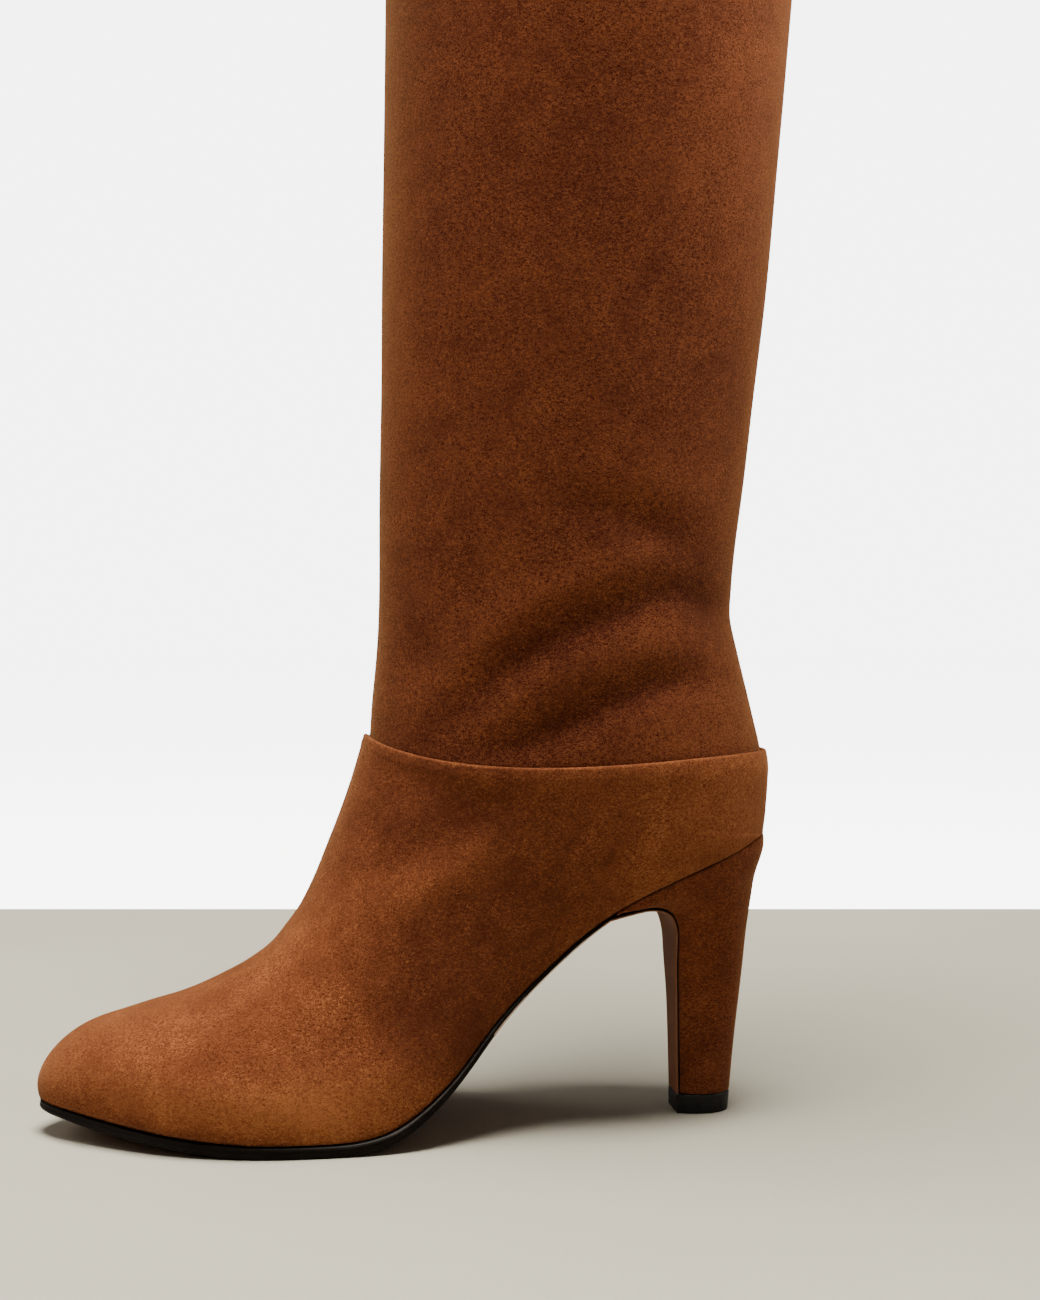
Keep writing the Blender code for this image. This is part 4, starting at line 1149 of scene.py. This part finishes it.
def leather_material(name, dark, light, roughness, grain=420, shine=0.35):
    """Smooth leather: fine grain, faint streaks and handling marks."""
    n = Nodes(name)
    pores = n.noise(grain * 3, detail=2.0, roughness=0.6)
    inputs = {"Scale": grain, "Vector": n.place}
    cells = n.add("ShaderNodeTexVoronoi", inputs, feature="DISTANCE_TO_EDGE")
    streak = n.noise(60, detail=4.0, roughness=0.6, at=n.stretched((1.0, 0.25, 0.6)))
    cloud = n.noise(26, detail=3.0)
    mix = n.math("MULTIPLY_ADD", pores, 0.18, -0.09)
    mix = n.math("ADD", mix, n.math("MULTIPLY_ADD", streak, 0.45, -0.22))
    mix = n.math("ADD", mix, n.math("MULTIPLY_ADD", cloud, 0.4, 0.3))
    normal = n.bump(n.spread(cells.outputs["Distance"], 0.0, 0.2), 0.00006, strength=0.4)
    n.set(
        Base_Color=n.ramp(mix, [(0.2, dark), (0.8, light)]),
        Roughness=n.spread(streak, 0.3, 0.7, roughness - 0.07, roughness + 0.08),
        Normal=n.bump(pores, 0.00005, strength=0.4, under=normal),
        Specular_IOR_Level=shine,
    )
    return n.material


def edge_material(name):
    """Black edge ink on leather: satin and brushed along the edge; glossier and painted lighter
    along its upper corner, a painted highlight.
    """
    n = Nodes(name)
    brush = n.noise(900, detail=3.0, at=n.stretched((0.4, 0.15, 1.0)))
    dust = n.noise(140, detail=4.0, roughness=0.65)
    mix = n.math("MULTIPLY_ADD", brush, 0.5, n.math("MULTIPLY", dust, 0.5))
    edge_shine = n.painted_light_value()
    # The lighter ink tones come from the brush and dust noise, and on the corner from the painted
    # highlight.
    black, painted_shade_and_edge_shine = (0.0022, 0.0013, 0.001), (0.009, 0.006, 0.0045)
    shade = n.math("MULTIPLY_ADD", mix, 0.5, n.math("MULTIPLY", edge_shine, 0.6))
    n.set(
        Base_Color=n.ramp(shade, [(0.15, black), (0.4, painted_shade_and_edge_shine), (0.95, (0.075, 0.062, 0.052))]),
        Roughness=n.spread(mix, 0.3, 0.7, 0.4, 0.55),
        Normal=n.bump(mix, 0.00008, strength=0.4),
        Specular_IOR_Level=n.spread(edge_shine, 0.0, 1.0, 0.04, 0.4),
    )
    return n.material


def rubber_material(name):
    n = Nodes(name)
    fine = n.noise(1600, detail=3.0)
    scuff = n.noise(260, detail=4.0, roughness=0.7, at=n.stretched((1.0, 1.0, 0.3)))
    n.set(
        Base_Color=n.ramp(scuff, [(0.35, (0.003, 0.0026, 0.0022)), (0.8, (0.011, 0.0095, 0.0085))]),
        Roughness=n.spread(fine, 0.3, 0.7, 0.48, 0.66),
        Normal=n.bump(fine, 0.00008, strength=0.5),
        Specular_IOR_Level=0.2,
    )
    return n.material


def thread_material(name, colour):
    n = Nodes(name)
    twist = n.noise(1800, detail=2.0, at=n.stretched((1.0, 1.0, 2.5), (0, 0.7, 0)))
    shade = tuple(0.6 * c for c in colour)
    n.set(Base_Color=n.ramp(twist, [(0.3, shade), (0.7, colour)]))
    n.set(Normal=n.bump(twist, 0.0001, strength=0.6), Roughness=0.7, Specular_IOR_Level=0.3)
    return n.material


def stage_material(name, dark, light, roughness, grain, glow=0.0):
    n = Nodes(name)
    cloud = n.noise(3.5, detail=5.0, roughness=0.6)
    fine = n.noise(grain, detail=3.0)
    mix = n.math("MULTIPLY_ADD", fine, 0.3, n.math("MULTIPLY", cloud, 0.7))
    n.set(Base_Color=n.ramp(mix, [(0.3, dark), (0.7, light)]), Roughness=roughness)
    n.set(Normal=n.bump(fine, 0.0002, strength=0.12))
    n.set(Specular_IOR_Level=0.2, Emission_Strength=glow)
    return n.material


# ---------------------------------------------------------------- stage

CAMERA_S = 162.8
CAMERA_X = 614.7
CAMERA_Z = 163.2
CAMERA_TURN = np.radians(7.7)  # away from square on to the side, towards the heel
CAMERA_LENS = 54.08
HORIZON = 1 / 26  # of the picture's height, from its middle up to the horizon
FLOOR_DEPTH = 1031.5  # from the camera to the end of the grey floor
FLOOR_REACH = 1.6  # metres, to the other sides
ROOM = 6.0
WALL_GLOW = 5.7


def add_camera():
    data = bpy.data.cameras.new("camera")
    data.sensor_width = 36.0
    data.lens = CAMERA_LENS
    data.shift_y = -HORIZON
    data.clip_start = 0.01
    camera = in_scene("camera", data)
    camera.location = to_world((CAMERA_X, CAMERA_S, CAMERA_Z))
    camera.rotation_euler = (np.pi / 2, 0, np.pi / 2 - CAMERA_TURN)
    bpy.context.scene.camera = camera
    return camera


def stage_sheet(name, corners, material):
    mesh = bpy.data.meshes.new(name)
    mesh.from_pydata([tuple(c) for c in corners], [], [(0, 1, 2, 3)])
    mesh.materials.append(material)
    sheet = in_scene(name, mesh)
    return sheet


def add_stage(camera):
    """A grey floor on white ground, with white walls a long way off."""
    ahead = np.array([-np.cos(CAMERA_TURN), np.sin(CAMERA_TURN), 0])
    right = np.array([np.sin(CAMERA_TURN), np.cos(CAMERA_TURN), 0])
    foot = np.array(camera.location)
    foot[2] = 0
    line = foot + ahead * FLOOR_DEPTH * MM
    near = foot - ahead * FLOOR_REACH
    side = right * FLOOR_REACH
    grey = stage_material("floor plaster", (0.458, 0.424, 0.332), (0.518, 0.482, 0.386), 0.7, 900)
    white = stage_material("white paint", (0.80,) * 3, (0.82,) * 3, 0.9, 600, glow=WALL_GLOW)
    stage_sheet("floor", [near - side, near + side, line + side, line - side], grey)
    low, high = np.array([0, 0, -0.001]), np.array([0, 0, ROOM])
    turns = [(-1, -1), (-1, 1), (1, 1), (1, -1)]
    corners = [foot + (ahead * a + right * b) * ROOM for a, b in turns]
    bright = [stage_sheet("white ground", [corner + low for corner in corners], white)]
    for k, corner in enumerate(corners):
        after = corners[(k + 1) % 4]
        sheet = [corner + low, after + low, after + high, corner + high]
        bright.append(stage_sheet(f"wall {k + 1}", sheet, white))
    # The white around the boot is seen, but its light doesn't reach the boot.
    for sheet in bright:
        sheet.visible_diffuse = False
        sheet.visible_glossy = False
        sheet.visible_shadow = False


def add_light(name, place, target, size, power, colour, spread=180, only=None):
    data = bpy.data.lights.new(name, "AREA")
    data.shape = "RECTANGLE"
    data.size, data.size_y = size
    data.energy = power
    data.color = colour
    data.spread = np.radians(spread)
    light = in_scene(name, data)
    light.location = place
    direction = Vector(target) - Vector(place)
    light.rotation_euler = direction.to_track_quat("-Z", "Y").to_euler()
    light.light_linking.receiver_collection = only


def add_lights(pieces):
    """Soft light from above, with rim lights that leave the floor alone."""
    world = bpy.data.worlds.new("studio")
    world.use_nodes = True
    background = world.node_tree.nodes["Background"]
    background.inputs["Color"].default_value = (1.0, 0.985, 0.96, 1.0)
    background.inputs["Strength"].default_value = 0.12
    bpy.context.scene.world = world
    boot = bpy.data.collections.new("boot pieces")
    for piece in pieces:
        boot.objects.link(piece)
    warm = (1.0, 0.98, 0.92)
    add_light("top", (0.18, -0.05, 1.7), (0, 0, 0), (0.7, 0.7), 76, (1.0, 0.985, 0.93))
    add_light("left", (-0.6, -1.3, 0.9), (0, 0, 0.3), (0.7, 0.9), 7, (1.0, 0.98, 0.9))
    add_light("toe", (0.5, -1.0, 0.2), (0.02, -0.08, 0.03), (0.4, 0.3), 4, warm, 180, boot)
    add_light("right", (0.05, 1.0, 1.15), (0, 0, 0.65), (0.5, 0.5), 6.8, warm, 48, boot)
    add_light("high", (1.0, 0.3, 1.25), (0, 0, 0.7), (0.5, 0.5), 2, warm, 34, boot)


camera = add_camera()
add_stage(camera)

# One suede in three copies: the leg's and the heel's are painted darker than the foot's, as painted
# shade.
foot_suede = suede_material("suede foot", (0.148, 0.0427, 0.0150), nap=0.6)
leg_suede_painted_darker = suede_material("suede leg, painted shade", (0.083, 0.0206, 0.0078))
heel_suede_painted_darker = suede_material("suede heel, painted shade", (0.090, 0.0222, 0.0086), nap=0.75)
lining = leather_material("lining leather", (0.36, 0.24, 0.14), (0.52, 0.37, 0.23), 0.62)
sole_tones = (0.115, 0.044, 0.021), (0.195, 0.079, 0.041)
sole_leather = leather_material("sole leather", *sole_tones, 0.7, shine=0.05)
# The bare edge is a lighter copy of the sole leather: partly its paler bare tone, partly painted
# light from the floor.
bare_tones = (0.32, 0.21, 0.165), (0.45, 0.32, 0.25)
bare_edge_painted_light = leather_material("bare edge leather, painted light", *bare_tones, 0.6, shine=0.2)
sock_leather = leather_material("insole leather", (0.40, 0.26, 0.15), (0.56, 0.39, 0.24), 0.55)
edge_ink = edge_material("sole edge ink")
rubber = rubber_material("heel tip rubber")
thread = thread_material("hem thread", (0.20, 0.075, 0.022))

shaft, shaft_outer, shaft_normals = make_shaft(leg_suede_painted_darker, lining)
pieces = [
    make_upper(foot_suede, lining),
    shaft,
    make_hem_stitches(shaft_outer, shaft_normals, thread),
    make_insole(sock_leather),
    make_outsole(edge_ink, sole_leather, bare_edge_painted_light),
    make_heel(heel_suede_painted_darker),
    make_heel_tip(rubber),
]
add_lights(pieces)
